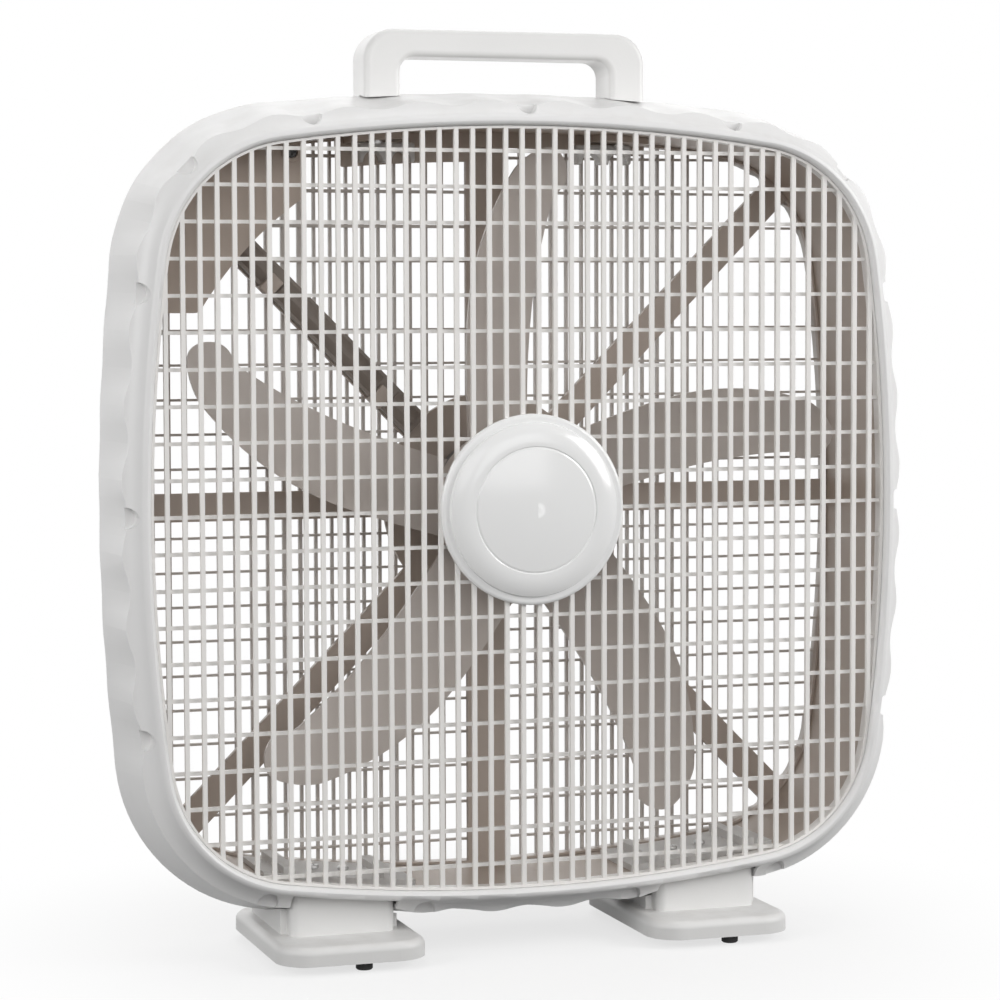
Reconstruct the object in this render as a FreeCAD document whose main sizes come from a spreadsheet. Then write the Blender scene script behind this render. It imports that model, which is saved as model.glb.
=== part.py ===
# Box fan of the 20 inch class: a wavy moulded shell with a bar grille, a five-blade wheel on a small
# induction motor, a corner box with the speed switch, a carry handle and two screwed-on feet.
# X runs to the viewer's right, Y from front to back and Z up. The origin lies on the floor under the
# middle of the housing. Every piece is drawn about the fan axis and then lifted to its height.
import FreeCAD, Part
import math
import os

import Sketcher
from FreeCAD import Placement, Rotation, Vector

# Driving sizes in millimetres: name, value, meaning. Places along the depth count from the middle of the feet.
SIZES = (
    ("axis_height", 286, "fan axis above the floor"),
    ("opening_half", 247, "half width of the front opening"),
    ("opening_high", 244.2, "half height of the front opening"),
    ("side_bow", 1134, "radius of the opening's bowed sides"),
    ("corner_radius", 86, "radius of the opening's corners"),
    ("bezel_width", 16.3, "opening to the crests of the outer wall"),
    ("wave_depth", 3.5, "crest to valley of the outer wall at its front edge"),
    ("wave_fade", 0.5, "crest to valley where the waves have run out"),
    ("wide_half", 268, "half width of the wall's widest line"),
    ("wide_high", 268, "half height of that line"),
    ("wide_bow", 1519, "radius of its bowed sides"),
    ("wide_corner", 109, "radius of its corners"),
    ("wide_place", 14, "its place along the depth"),
    ("wide_wall", 4, "white wall there"),
    ("rear_width", 10.5, "opening to the wall's rear edge"),
    ("lip_front", -51, "place of the bezel lip along the depth"),
    ("housing_depth", 106.5, "bezel lip to rear face"),
    ("shell_wall", 2.5, "white wall at a valley"),
    ("lip_edge", 4, "depth of the lip's inner rounding"),
    ("lip_crown", 2.6, "opening to the foremost line of the lip"),
    ("lip_width", 6.5, "opening to the start of the cove"),
    ("lip_fall", 3, "drop of the lip at the start of the cove"),
    ("cove_depth", 15, "drop of the cove at its outer edge"),
    ("cove_radius", 17.1, "hollow of the cove"),
    ("bezel_thick", 12.5, "bezel lip to the hollow behind it"),
    ("bezel_return", 17, "bezel lip to the rear of its inner wall"),
    ("notch_radius", 6.75, "half-round notches in the front edge"),
    ("notch_inset", 2.5, "notch centre inside the crests"),
    ("notch_floor", 18, "bezel lip to the notch floor"),
    ("fit_gap", 0.3, "clearance of pieces that seat in each other"),
    ("duct_wall", 2, "taupe inner wall"),
    ("flange_thick", 3, "rear flange of the duct"),
    ("rear_ring", 8.5, "duct behind that flange"),
    ("flange_inset", 0.3, "edge of the rear flange inside the white wall"),
    ("rib_depth", 10, "rib that centres the shell on the duct"),
    ("lip_proud", 4.5, "bezel lip in front of the grille"),
    ("grille_rim", 1.6, "thickness of a grille's rim"),
    ("rim_depth", 9, "depth of a grille's rim"),
    ("upright_bars", 44, "upright bars of a grille"),
    ("upright_pitch", 11, "spacing of the upright bars"),
    ("level_bars", 21, "level bars of a grille"),
    ("level_pitch", 22.8, "spacing of the level bars"),
    ("bar_width", 2.8, "face width of an upright bar"),
    ("level_width", 2.3, "face width of a level bar"),
    ("bar_depth", 3, "depth of a bar"),
    ("layer_gap", 0.05, "hair gap where the two layers of bars cross"),
    ("seat_radius", 57, "round seat of the cap"),
    ("seat_depth", 5, "thickness of that seat"),
    ("cap_radius", 61.2, "outside of the cap"),
    ("cap_flange", 4, "height of the cap's flange"),
    ("cap_shoulder", 55.5, "radius where the dome starts"),
    ("cap_step", 2.1, "step from the flange to the dome"),
    ("cap_ring", 41, "radius of the ring line on the dome"),
    ("cap_ring_rise", 10, "grille to the ring line"),
    ("cap_rise", 13, "grille to the top of the dome"),
    ("cap_wall", 2.5, "wall of the cap"),
    ("peg_radius", 3, "pegs of the cap"),
    ("peg_circle", 46, "radius of the pegs' circle"),
    ("peg_length", 8, "length of a peg"),
    ("spoke_depth", 4, "depth of the rear spokes"),
    ("spoke_upright", 29, "width of the upright spokes"),
    ("spoke_level", 18.5, "width of the level spokes"),
    ("spoke_diagonal", 20, "width of the diagonal spokes"),
    ("plate_radius", 72, "motor plate in the middle of the spokes"),
    ("box_front", -8.5, "place of the corner box's front along the depth"),
    ("box_right", 137.4, "fan axis to the box's upright edge"),
    ("box_low", 126, "fan axis to the box's lower edge"),
    ("box_arc", 242.5, "radius of the box's hollow edge"),
    ("box_wall", 2.5, "wall of the box"),
    ("box_round", 6, "free corners of the box"),
    ("channel_width", 18, "width of the wire channel"),
    ("channel_depth", 7, "depth of the wire channel"),
    ("channel_wall", 1.6, "wall of the wire channel"),
    ("lead_radius", 1.4, "insulated motor leads"),
    ("motor_radius", 42, "outside of the motor"),
    ("motor_length", 38, "length of the motor"),
    ("stator_length", 16, "length of the stator core"),
    ("bell_wall", 2.5, "wall of the motor bells"),
    ("shaft_radius", 4, "motor shaft"),
    ("running_gap", 0.04, "radial clearance of the shaft in its bearings"),
    ("bearing_radius", 7, "outside of a sleeve bearing"),
    ("bearing_length", 9, "length of a sleeve bearing"),
    ("boss_wall", 3, "wall round a bearing"),
    ("rotor_radius", 21.8, "outside of the rotor core"),
    ("air_gap", 0.4, "rotor to stator"),
    ("winding_inner", 25, "inside of the winding ends"),
    ("winding_outer", 33, "outside of the winding ends"),
    ("winding_length", 8, "length of a winding end"),
    ("motor_bolt_circle", 36.5, "radius of the motor screws' circle"),
    ("motor_bolt_radius", 2, "motor screws"),
    ("blade_plane", -4.3, "middle of the blades along the depth"),
    ("blade_tip", 232.5, "tip radius of the wheel"),
    ("blade_thick", 2.4, "thickness of a blade"),
    ("blade_camber", 4, "hollow of a blade's section"),
    ("blade_turn", 19.4, "angle of the first blade"),
    ("hub_radius", 50, "outside of the wheel's hub"),
    ("hub_front", -18, "place of the hub's front along the depth"),
    ("hub_depth", 22, "depth of the hub's skirt"),
    ("hub_wall", 3, "wall of the hub"),
    ("hub_boss", 11, "radius of the hub's boss"),
    ("nut_radius", 9, "wheel nut"),
    ("nut_length", 6, "thickness of the wheel nut"),
    ("knob_side", 190, "fan axis to the knob, sideways"),
    ("knob_up", 190, "fan axis to the knob, upwards"),
    ("knob_radius", 17, "speed knob"),
    ("knob_height", 10.5, "height of the knob"),
    ("stem_radius", 3, "switch stem"),
    ("bush_radius", 5, "threaded bush of the switch"),
    ("switch_width", 28, "side of the switch"),
    ("switch_depth", 20, "depth of the switch"),
    ("handle_rise", 46.9, "crests of the housing to the handle's top"),
    ("handle_width", 191, "outside of the handle"),
    ("handle_bar", 17.5, "height of the handle's grip"),
    ("handle_leg", 24, "width of a handle leg"),
    ("handle_round", 20, "outer corners of the handle"),
    ("handle_front", 1.5, "place of the handle's front along the depth"),
    ("handle_depth", 32, "depth of the handle"),
    ("handle_edge", 4, "rounding of the handle's edges"),
    ("clip_thick", 4, "thickness of the clip plates inside the duct"),
    ("handle_clip", 36, "width of a handle clip"),
    ("handle_neck", 16, "width of a handle neck"),
    ("foot_spacing", 248, "middle to middle of the feet"),
    ("foot_width", 97, "width of a foot plate"),
    ("foot_length", 147, "length of a foot plate"),
    ("foot_thick", 12, "thickness of a foot plate"),
    ("foot_round", 21, "corners of a foot plate"),
    ("foot_edge", 5, "rounding of a foot plate's top edge"),
    ("pad_height", 6, "rubber pad under a foot"),
    ("pad_radius", 5.4, "rubber pad"),
    ("pad_side", 7, "pads off the middle of a foot"),
    ("pad_reach", 61, "pads from mid depth"),
    ("block_front", -38, "place of a foot block's front along the depth"),
    ("block_width", 68.5, "width of a foot's front block"),
    ("block_step", 4.2, "step to the wider block behind"),
    ("block_nose", 12, "depth of the front block"),
    ("block_length", 90, "length of the whole block"),
    ("block_round", 6, "upright edges of the front block"),
    ("foot_neck", 40, "width of a foot neck"),
    ("neck_length", 40, "length of a foot neck"),
    ("foot_clip", 100, "width of a foot clip"),
    ("clip_rib", 8, "width of the ribs on a foot clip"),
    ("clip_rib_height", 5, "height of those ribs"),
    ("clip_rib_spacing", 66, "middle to middle of those ribs"),
    ("foot_clip_length", 60, "length of a foot clip"),
    ("screw_radius", 1.9, "fixing screws"),
    ("screw_head", 3.6, "head radius of the fixing screws"),
    ("screw_head_length", 2.4, "head height of the fixing screws"),
    ("screw_length", 20, "length of the fixing screws"),
    ("screw_fit", 0.02, "radial clearance of a screw in its pilot hole"),
    ("shell_boss", 3.7, "screw bosses inside the shell"),
    ("shell_screw_inset", 4.2, "rear edge of the wall to the shell screws"),
    ("gland_radius", 6, "cord gland"),
    ("gland_bore", 3.6, "bore of the cord gland"),
)

# Waves of the outer wall on each stretch, from the right side round by the upper right corner.
# The lower corners are plain.
WAVES = (7, 3, 7, 3, 7, 0, 7, 0)
RIGHT, UPPER_RIGHT, TOP, UPPER_LEFT, LEFT, LOWER_LEFT, BOTTOM, LOWER_RIGHT = range(8)

# The two outlines of the housing: half width, half height, radius of the bowed sides, radius of the corners
OPENING = ("sizes.opening_half", "sizes.opening_high", "sizes.side_bow", "sizes.corner_radius")
WIDEST = ("sizes.wide_half", "sizes.wide_high", "sizes.wide_bow", "sizes.wide_corner")

# Places along the depth and other shared measures, as expressions on the size sheet
LIP = "sizes.lip_front"
REAR = "(sizes.lip_front + sizes.housing_depth)"
FLANGE_BACK = f"({REAR} - sizes.rear_ring)"
FLANGE = f"({FLANGE_BACK} - sizes.flange_thick)"
GRILLE = "(sizes.lip_front + sizes.lip_proud)"
RETURN = "(sizes.lip_front + sizes.bezel_return)"
BEZEL_BACK = "(sizes.lip_front + sizes.bezel_thick)"
NOTCH_FLOOR = "(sizes.lip_front + sizes.notch_floor)"
LEVEL_REAR = f"({REAR} - sizes.bar_depth - sizes.layer_gap)"
PANEL = f"({LEVEL_REAR} - sizes.bar_depth)"
SPOKE_BACK = f"({PANEL} - sizes.layer_gap)"
SPOKE = f"({SPOKE_BACK} - sizes.spoke_depth)"
MOTOR = f"({SPOKE} - sizes.motor_length)"
STATOR = f"({MOTOR} + (sizes.motor_length - sizes.stator_length) / 2)"
STATOR_BACK = f"({STATOR} + sizes.stator_length)"
OUTER = "(sizes.opening_half + sizes.bezel_width)"
BEYOND = "(sizes.opening_half + 4 * sizes.bezel_width)"
OUTER_TOP = "(sizes.opening_high + sizes.bezel_width)"
CAVITY = "(sizes.bezel_width - sizes.wave_depth - sizes.shell_wall)"
REAR_CAVITY = "(sizes.rear_width - sizes.wave_fade - sizes.shell_wall)"
NOSE_BACK = "(sizes.block_front + sizes.block_nose)"
FLOOR = "(-sizes.axis_height)"
PLATE_TOP = f"({FLOOR} + sizes.pad_height + sizes.foot_thick)"
HANDLE_TOP = f"({OUTER_TOP} + sizes.handle_rise)"
SHELL_SCREW = "(sizes.rear_width - sizes.shell_screw_inset)"

doc = FreeCAD.newDocument("box_fan")
sheet = doc.addObject("Spreadsheet::Sheet", "sizes")
for row, (alias, size, meaning) in enumerate(SIZES, 1):
    sheet.set(f"A{row}", str(size))
    sheet.set(f"B{row}", meaning)
    sheet.setAlias(f"A{row}", alias)
doc.recompute()

nodes = []


# Expressions and sketches

def value(expression):
    """The number that an expression on the size sheet gives."""
    return float(doc.sizes.evalExpression(expression.replace("sizes.", "")))


def bind(item, **expressions):
    """Bind properties to expressions; a double underscore stands for a dot in a property's path."""
    for path, expression in expressions.items():
        item.setExpression(path.replace("__", "."), expression)


def finish(item, label, side="0", up="0"):
    """Name a finished piece and lift it from the fan axis to its place."""
    item.Label = label
    bind(item, Placement__Base__x=side, Placement__Base__z=f"sizes.axis_height + {up}")
    nodes.append(item)
    return item


def hold(sketch, constraint, expression):
    """Add a constraint whose value follows an expression."""
    index = sketch.addConstraint(constraint)
    sketch.setExpression(f"Constraints[{index}]", expression)


def pin(sketch, curve, point, across, along):
    """Hold a point of a sketch at two expressions, measured from the sketch's origin."""
    hold(sketch, Sketcher.Constraint("DistanceX", -1, 1, curve, point, value(across)), across)
    hold(sketch, Sketcher.Constraint("DistanceY", -1, 1, curve, point, value(along)), along)


def arc_between(start, end, radius):
    """An arc between two points; a positive radius has its centre on the left of the way."""
    chord = end - start
    reach = math.sqrt(radius ** 2 - chord.Length ** 2 / 4)
    left = Vector(-chord.y, chord.x, 0).normalize()
    centre = (start + end) / 2 + left * math.copysign(reach, radius)
    begin, stop = (start, end) if radius > 0 else (end, start)
    angles = [math.atan2(p.y - centre.y, p.x - centre.x) for p in (begin, stop)]
    return Part.ArcOfCircle(Part.Circle(centre, Vector(0, 0, 1), abs(radius)), *angles)


def draw(sketch, corners):
    """Draw a closed outline of lines and arcs.

    Each corner is (across, along) or (across, along, radius): the radius is that of the arc to the next corner,
    positive where its centre lies on the left of the way.
    """
    spots = [Vector(value(c[0]), value(c[1]), 0) for c in corners]
    ends = []
    for index, corner in enumerate(corners):
        start, end = spots[index], spots[(index + 1) % len(spots)]
        if len(corner) == 2:
            curve = sketch.addGeometry(Part.LineSegment(start, end), False)
            ends.append((curve, 1, 2))
            continue
        radius = value(corner[2])
        curve = sketch.addGeometry(arc_between(start, end, radius), False)
        ends.append((curve, 1, 2) if radius > 0 else (curve, 2, 1))
        hold(sketch, Sketcher.Constraint("Radius", curve, abs(radius)), f"abs({corner[2]})")
    for index, corner in enumerate(corners):
        curve, first, _ = ends[index]
        before, _, last = ends[index - 1]
        sketch.addConstraint(Sketcher.Constraint("Coincident", before, last, curve, first))
        pin(sketch, curve, first, corner[0], corner[1])


def rectangle(sketch, left, low, right, high):
    """Draw a rectangle by its sides."""
    draw(sketch, ((left, low), (right, low), (right, high), (left, high)))


def circle(sketch, across, along, radius):
    """Draw a circle by its centre and radius."""
    middle = Vector(value(across), value(along), 0)
    curve = sketch.addGeometry(Part.Circle(middle, Vector(0, 0, 1), value(radius)))
    pin(sketch, curve, 3, across, along)
    hold(sketch, Sketcher.Constraint("Radius", curve, value(radius)), radius)


def outline_joint(outline):
    """Corner centre, and the leans of a side and of the top where they meet the round corner."""
    half, high, bow, corner = (value(size) for size in outline)
    shift, rise, reach = bow - half, bow - high, bow - corner
    slope, start = rise / shift, (rise ** 2 - shift ** 2) / (2 * shift)
    square, line = slope ** 2 + 1, slope * start + rise
    up = (math.sqrt(line ** 2 - square * (start ** 2 + rise ** 2 - reach ** 2)) - line) / square
    across = slope * up + start
    return across, up, math.atan2(up, across + shift), math.atan2(across, up + rise)


def squircle(sketch, offset, outline=OPENING):
    """Draw one of the housing's outlines, four bowed sides and four round corners, at an offset."""
    half, high, bow, corner = outline
    across, up, side_lean, top_lean = outline_joint(outline)
    shift, rise = value(f"{bow} - {half}"), value(f"{bow} - {high}")
    radii = (value(f"{bow} + {offset}"), value(f"{corner} + {offset}"))
    right, around = math.pi / 2, math.pi
    stretches = (
        (-shift, 0, -side_lean, side_lean), (across, up, side_lean, right - top_lean),
        (0, -rise, right - top_lean, right + top_lean), (-across, up, right + top_lean, around - side_lean),
        (shift, 0, around - side_lean, around + side_lean),
        (-across, -up, around + side_lean, around + right - top_lean),
        (0, rise, around + right - top_lean, around + right + top_lean),
        (across, -up, around + right + top_lean, -side_lean))
    curves = []
    for number, (centre_across, centre_up, begin, end) in enumerate(stretches):
        round_part = Part.Circle(Vector(centre_across, centre_up, 0), Vector(0, 0, 1), radii[number % 2])
        curves.append(sketch.addGeometry(Part.ArcOfCircle(round_part, begin, end), False))
    for curve, following in zip(curves, curves[1:] + curves[:1]):
        sketch.addConstraint(Sketcher.Constraint("Tangent", curve, 2, following, 1))
    for curve in curves[2:]:
        sketch.addConstraint(Sketcher.Constraint("Equal", curves[(curve - curves[0]) % 2], curve))
    axes = (("DistanceX", -1, f"{half} - {bow}"), ("DistanceY", -2, f"{high} - {bow}"),
            ("DistanceX", -1, f"{bow} - {half}"), ("DistanceY", -2, f"{bow} - {high}"))
    for side, (kind, axis, place) in zip(curves[::2], axes):
        sketch.addConstraint(Sketcher.Constraint("PointOnObject", side, 3, axis))
        hold(sketch, Sketcher.Constraint(kind, -1, 1, side, 3, value(place)), place)
    hold(sketch, Sketcher.Constraint("Radius", curves[0], radii[0]), f"{bow} + {offset}")
    hold(sketch, Sketcher.Constraint("Radius", curves[1], radii[1]), f"{corner} + {offset}")


def outline_point(stretch, share, offset, outline=OPENING):
    """A point of an outline: share runs from 0 to 1 along one of its eight stretches."""
    half, high, bow, corner = (value(size) for size in outline)
    across, up, side_lean, top_lean = outline_joint(outline)
    half_turned = stretch >= LEFT
    stretch -= LEFT if half_turned else 0
    quarter = math.pi / 2
    turn = quarter - side_lean - top_lean
    centre, radius, angle = {
        RIGHT: ((half - bow, 0), bow, side_lean * (2 * share - 1)),
        UPPER_RIGHT: ((across, up), corner, side_lean + turn * share),
        TOP: ((0, high - bow), bow, quarter + top_lean * (2 * share - 1)),
        UPPER_LEFT: ((-across, up), corner, quarter + top_lean + turn * share)}[stretch]
    radius += offset
    spot = Vector(centre[0] + radius * math.cos(angle), 0, centre[1] + radius * math.sin(angle))
    return -spot if half_turned else spot


def side_height(across, offset):
    """How far the opening's bowed top or bottom lies from the fan axis at a place across, as an expression."""
    return f"(sqrt((sizes.side_bow + {offset})^2 - ({across})^2) - sizes.side_bow + sizes.opening_high)"


# Features

def new_body(name):
    """A body whose sketches lie on its own origin planes."""
    return doc.addObject("PartDesign::Body", name)


def plane_sketch(body, name, role, offset="0"):
    """A sketch on one of a body's origin planes, moved along the plane's normal."""
    sketch = body.newObject("Sketcher::SketchObject", f"{body.Name}_{name}")
    plane = next(feature for feature in body.Origin.OriginFeatures if feature.Role == role)
    sketch.AttachmentSupport = [(plane, "")]
    sketch.MapMode = "FlatFace"
    bind(sketch, AttachmentOffset__Base__z=offset)
    return sketch


def front_sketch(body, name, depth):
    """A sketch seen from the front, at a place along the depth: across is X and along is Z."""
    return plane_sketch(body, name, "XZ_Plane", f"-({depth})")


def feature(body, kind, sketch, length):
    """A pad, which grows towards the sketch's normal, or a pocket, which cuts away from it."""
    made = body.newObject(f"PartDesign::{kind}", f"{sketch.Name}_{kind.lower()}")
    made.Profile = sketch
    made.Refine = False
    bind(made, Length=length)
    return made


def slab(body, name, front, rear, drawing, *arguments):
    """A pad between two places along the depth, with the outline that a drawing function gives."""
    sketch = front_sketch(body, name, rear)
    drawing(sketch, *arguments)
    return feature(body, "Pad", sketch, f"({rear}) - ({front})")


def recess(body, name, front, rear, drawing, *arguments):
    """A pocket between two places along the depth."""
    sketch = front_sketch(body, name, front)
    drawing(sketch, *arguments)
    return feature(body, "Pocket", sketch, f"({rear}) - ({front})")


def between_outlines(body, name, first, last, kind="AdditiveLoft"):
    """A straight loft between two outlines, each given as place along the depth, offset and outline."""
    sketches = []
    for end, (place, offset, outline) in (("start", first), ("end", last)):
        sketch = front_sketch(body, f"{name}_{end}", place)
        squircle(sketch, offset, outline)
        sketches.append(sketch)
    made = body.newObject(f"PartDesign::{kind}", f"{body.Name}_{name}_loft")
    made.Profile = sketches[0]
    made.Sections = sketches[1:]
    made.Ruled = True
    return made


def turned(body, name, corners):
    """A piece turned about the depth axis; each corner is (place along the depth, radius)."""
    sketch = plane_sketch(body, name, "YZ_Plane")
    draw(sketch, corners)
    made = body.newObject("PartDesign::Revolution", f"{sketch.Name}_turned")
    made.Profile = sketch
    made.ReferenceAxis = (sketch, ["H_Axis"])
    made.Angle = 360
    return made


def row_of(body, original, axis, count, length):
    """Repeat a feature in a row along an axis of its sketch."""
    pattern = body.newObject("PartDesign::LinearPattern", f"{original.Name}_row")
    pattern.Originals = [original]
    pattern.Direction = (original.Profile[0], [axis])
    pattern.Refine = False
    bind(pattern, Occurrences=count, Length=length)
    body.Tip = pattern
    return pattern


def ring_of(body, original, count):
    """Repeat a feature round the depth axis."""
    pattern = body.newObject("PartDesign::PolarPattern", f"{original.Name}_ring")
    pattern.Originals = [original]
    pattern.Axis = (original.Profile[0], ["N_Axis"])
    pattern.Angle = 360
    pattern.Occurrences = count
    body.Tip = pattern
    return pattern


def outline_ring(sketch, inner, outer):
    """Draw the band between two offsets of the housing's outline."""
    squircle(sketch, inner)
    squircle(sketch, outer)


def outside_of(sketch, offset):
    """Draw all that lies outside an offset of the housing's outline."""
    rectangle(sketch, f"-{BEYOND}", f"-{BEYOND}", BEYOND, BEYOND)
    squircle(sketch, offset)


def edges_where(shape, test):
    """Names of the edges whose bounding box passes a test."""
    return [f"Edge{number}" for number, edge in enumerate(shape.Edges, 1) if test(edge.BoundBox)]


def fillet(body, base, radius, test):
    """Round the edges of a feature that pass a test."""
    doc.recompute()
    made = body.newObject("PartDesign::Fillet", f"{base.Name}_round")
    made.Base = (base, edges_where(base.Shape, test))
    bind(made, Radius=radius)
    return made


def near(first, second):
    """Whether two lengths agree to a micrometre."""
    return abs(first - second) < 1e-3


def boolean(kind, name, base, tool):
    """A cut or a common part of two objects."""
    made = doc.addObject(f"Part::{kind}", name)
    made.Base, made.Tool = base, tool
    return made


def joined(name, pieces):
    """Several objects fused into one."""
    made = doc.addObject("Part::MultiFuse", name)
    made.Shapes = pieces
    return made


def rods(name, spots, radius, front, rear):
    """Round bars along the depth, centred on spots of the front view."""
    made = []
    for number, spot in enumerate(spots, 1):
        rod = doc.addObject("Part::Cylinder", f"{name}_{number}")
        rod.Placement = Placement(spot, Rotation(Vector(1, 0, 0), -90))
        bind(rod, Radius=radius, Height=f"({rear}) - ({front})", Placement__Base__y=front)
        made.append(rod)
    return joined(name, made)


def box(name, left, front, low, length, depth, height):
    """A box by its least corner and its three sides."""
    made = doc.addObject("Part::Box", name)
    bind(made, Length=length, Width=depth, Height=height)
    bind(made, Placement__Base__x=left, Placement__Base__y=front, Placement__Base__z=low)
    return made


def copies(name, template, places):
    """One node that holds a copy of a piece at each of several places."""
    doc.recompute()
    group = doc.addObject("Part::Feature", name)
    shapes = []
    for place in places:
        shape = template.Shape.copy()
        shape.Placement = place
        shapes.append(shape)
    group.Shape = Part.makeCompound(shapes)
    return finish(group, name)


# Fixings: places of the screws and of the slots for handle and feet

# Shell screws and the notches of the front edge: stretch of the outline, and share along it
SHELL_SCREWS = ((RIGHT, 0.3), (RIGHT, 0.7), (TOP, 0.3), (TOP, 0.7),
                (LEFT, 0.3), (LEFT, 0.7), (BOTTOM, 0.4), (BOTTOM, 0.6))
SIDE_NOTCHES = (0.5 / 7, 0.5, 6.5 / 7)
BOTTOM_NOTCHES = ((LOWER_LEFT, 0.936), (BOTTOM, 0.2875), (BOTTOM, 0.7125), (LOWER_RIGHT, 0.064))


def shell_screw_spots():
    """Two shell screws on each side of the housing."""
    inset = value(SHELL_SCREW)
    return [outline_point(stretch, share, inset) for stretch, share in SHELL_SCREWS]


def notch_spots():
    """Notches: three in each side and in the top, one in each upper corner, and one on each side of a foot."""
    inset = value("sizes.bezel_width - sizes.notch_inset")
    places = [(side, share) for side in (RIGHT, TOP, LEFT) for share in SIDE_NOTCHES]
    places += [(UPPER_RIGHT, 0.5), (UPPER_LEFT, 0.5), *BOTTOM_NOTCHES]
    return [outline_point(stretch, share, inset) for stretch, share in places]


def foot_middle(side):
    """Middle of a foot, left for side -1 and right for side 1."""
    return f"({side} * sizes.foot_spacing / 2)"


def handle_middle(side):
    """Middle of a handle leg."""
    return f"({side} * (sizes.handle_width - sizes.handle_leg) / 2)"


HANDLE_CENTRE = "(sizes.handle_front + sizes.handle_depth / 2)"
HANDLE_NECK_DEPTH = "(sizes.handle_depth - 4 * sizes.handle_edge)"
NECK_FRONT = "(-sizes.neck_length / 2)"


def neck_slots():
    """Slots through shell and duct for the necks of the handle and the feet."""
    made = []
    gap = "sizes.fit_gap"
    for side in (-1, 1):
        made.append(box(
            f"foot_slot_{side + 1}",
            f"{foot_middle(side)} - sizes.foot_neck / 2 - {gap}", f"{NECK_FRONT} - {gap}", f"-{BEYOND}",
            f"sizes.foot_neck + 2 * {gap}", f"sizes.neck_length + 2 * {gap}", "sizes.opening_half"))
        made.append(box(
            f"handle_slot_{side + 1}",
            f"{handle_middle(side)} - sizes.handle_neck / 2 - {gap}",
            f"{HANDLE_CENTRE} - {HANDLE_NECK_DEPTH} / 2 - {gap}", f"{BEYOND} - sizes.opening_half",
            f"sizes.handle_neck + 2 * {gap}", f"{HANDLE_NECK_DEPTH} + 2 * {gap}", "sizes.opening_half"))
    return joined("neck_slots", made)


# The white shell

EDGE = f"({LIP} + sizes.cove_depth)"


def seat_on_shell(body):
    """Cut a piece away where the shell's outer wall is, with a hair of clearance."""
    gap = "sizes.fit_gap"
    widest = ("sizes.wide_place", gap, WIDEST)
    front = (EDGE, f"(sizes.bezel_width + {gap})", OPENING)
    rear = (FLANGE, f"(sizes.rear_width + {gap})", OPENING)
    between_outlines(body, "seat_front", front, widest, "SubtractiveLoft")
    between_outlines(body, "seat_rear", widest, rear, "SubtractiveLoft")


def wavy_section(name, outline, crest_at, depth, place):
    """Outline of the outer wall at a place along the depth, in quarter waves; a stretch ends on a crest."""
    crest = value(crest_at)
    valley = crest - value(depth)
    middle = (crest + valley) / 2
    edges = []
    for stretch, waves in enumerate(WAVES):
        if not waves:
            spots = [outline_point(stretch, share, crest, outline) for share in (0, 0.5, 1)]
            edges.append(Part.Arc(*spots).toShape())
        for quarter in range(4 * waves):
            begin, end = quarter / (4 * waves), (quarter + 1) / (4 * waves)
            levels = (crest, middle, valley, middle)
            first, last = levels[quarter % 4], levels[(quarter + 1) % 4]
            turning = first if quarter % 2 == 0 else last
            between = turning + (middle - turning) / 4
            heights = ((begin, first), ((begin + end) / 2, between), (end, last))
            spots = [outline_point(stretch, share, offset, outline) for share, offset in heights]
            edges.append(Part.Arc(*spots).toShape())
    section = doc.addObject("Part::Feature", name)
    section.Shape = Part.Wire(edges)
    bind(section, Placement__Base__y=place)
    return section


def block_outline(sketch, middle, width, low, offset):
    """Draw a foot's block seen from the front: upright sides, and a top bent to the housing's underside."""
    left, right = f"({middle} - {width} / 2)", f"({middle} + {width} / 2)"
    draw(sketch, (
        (left, low), (right, low), (right, f"-{side_height(right, offset)}", f"-(sizes.side_bow + {offset})"),
        (left, f"-{side_height(left, offset)}")))


def foot_reliefs():
    """Cut-outs in the bezel for the noses of the feet."""
    made = []
    for side in (-1, 1):
        body = new_body(f"foot_relief_{side + 1}")
        slab(body, "nose", f"{LIP} - sizes.bezel_width", f"({NOSE_BACK} + sizes.fit_gap)", block_outline,
             foot_middle(side), "(sizes.block_width + 2 * sizes.fit_gap)", f"-{BEYOND}", "sizes.lip_width")
        made.append(body)
    return made


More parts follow.
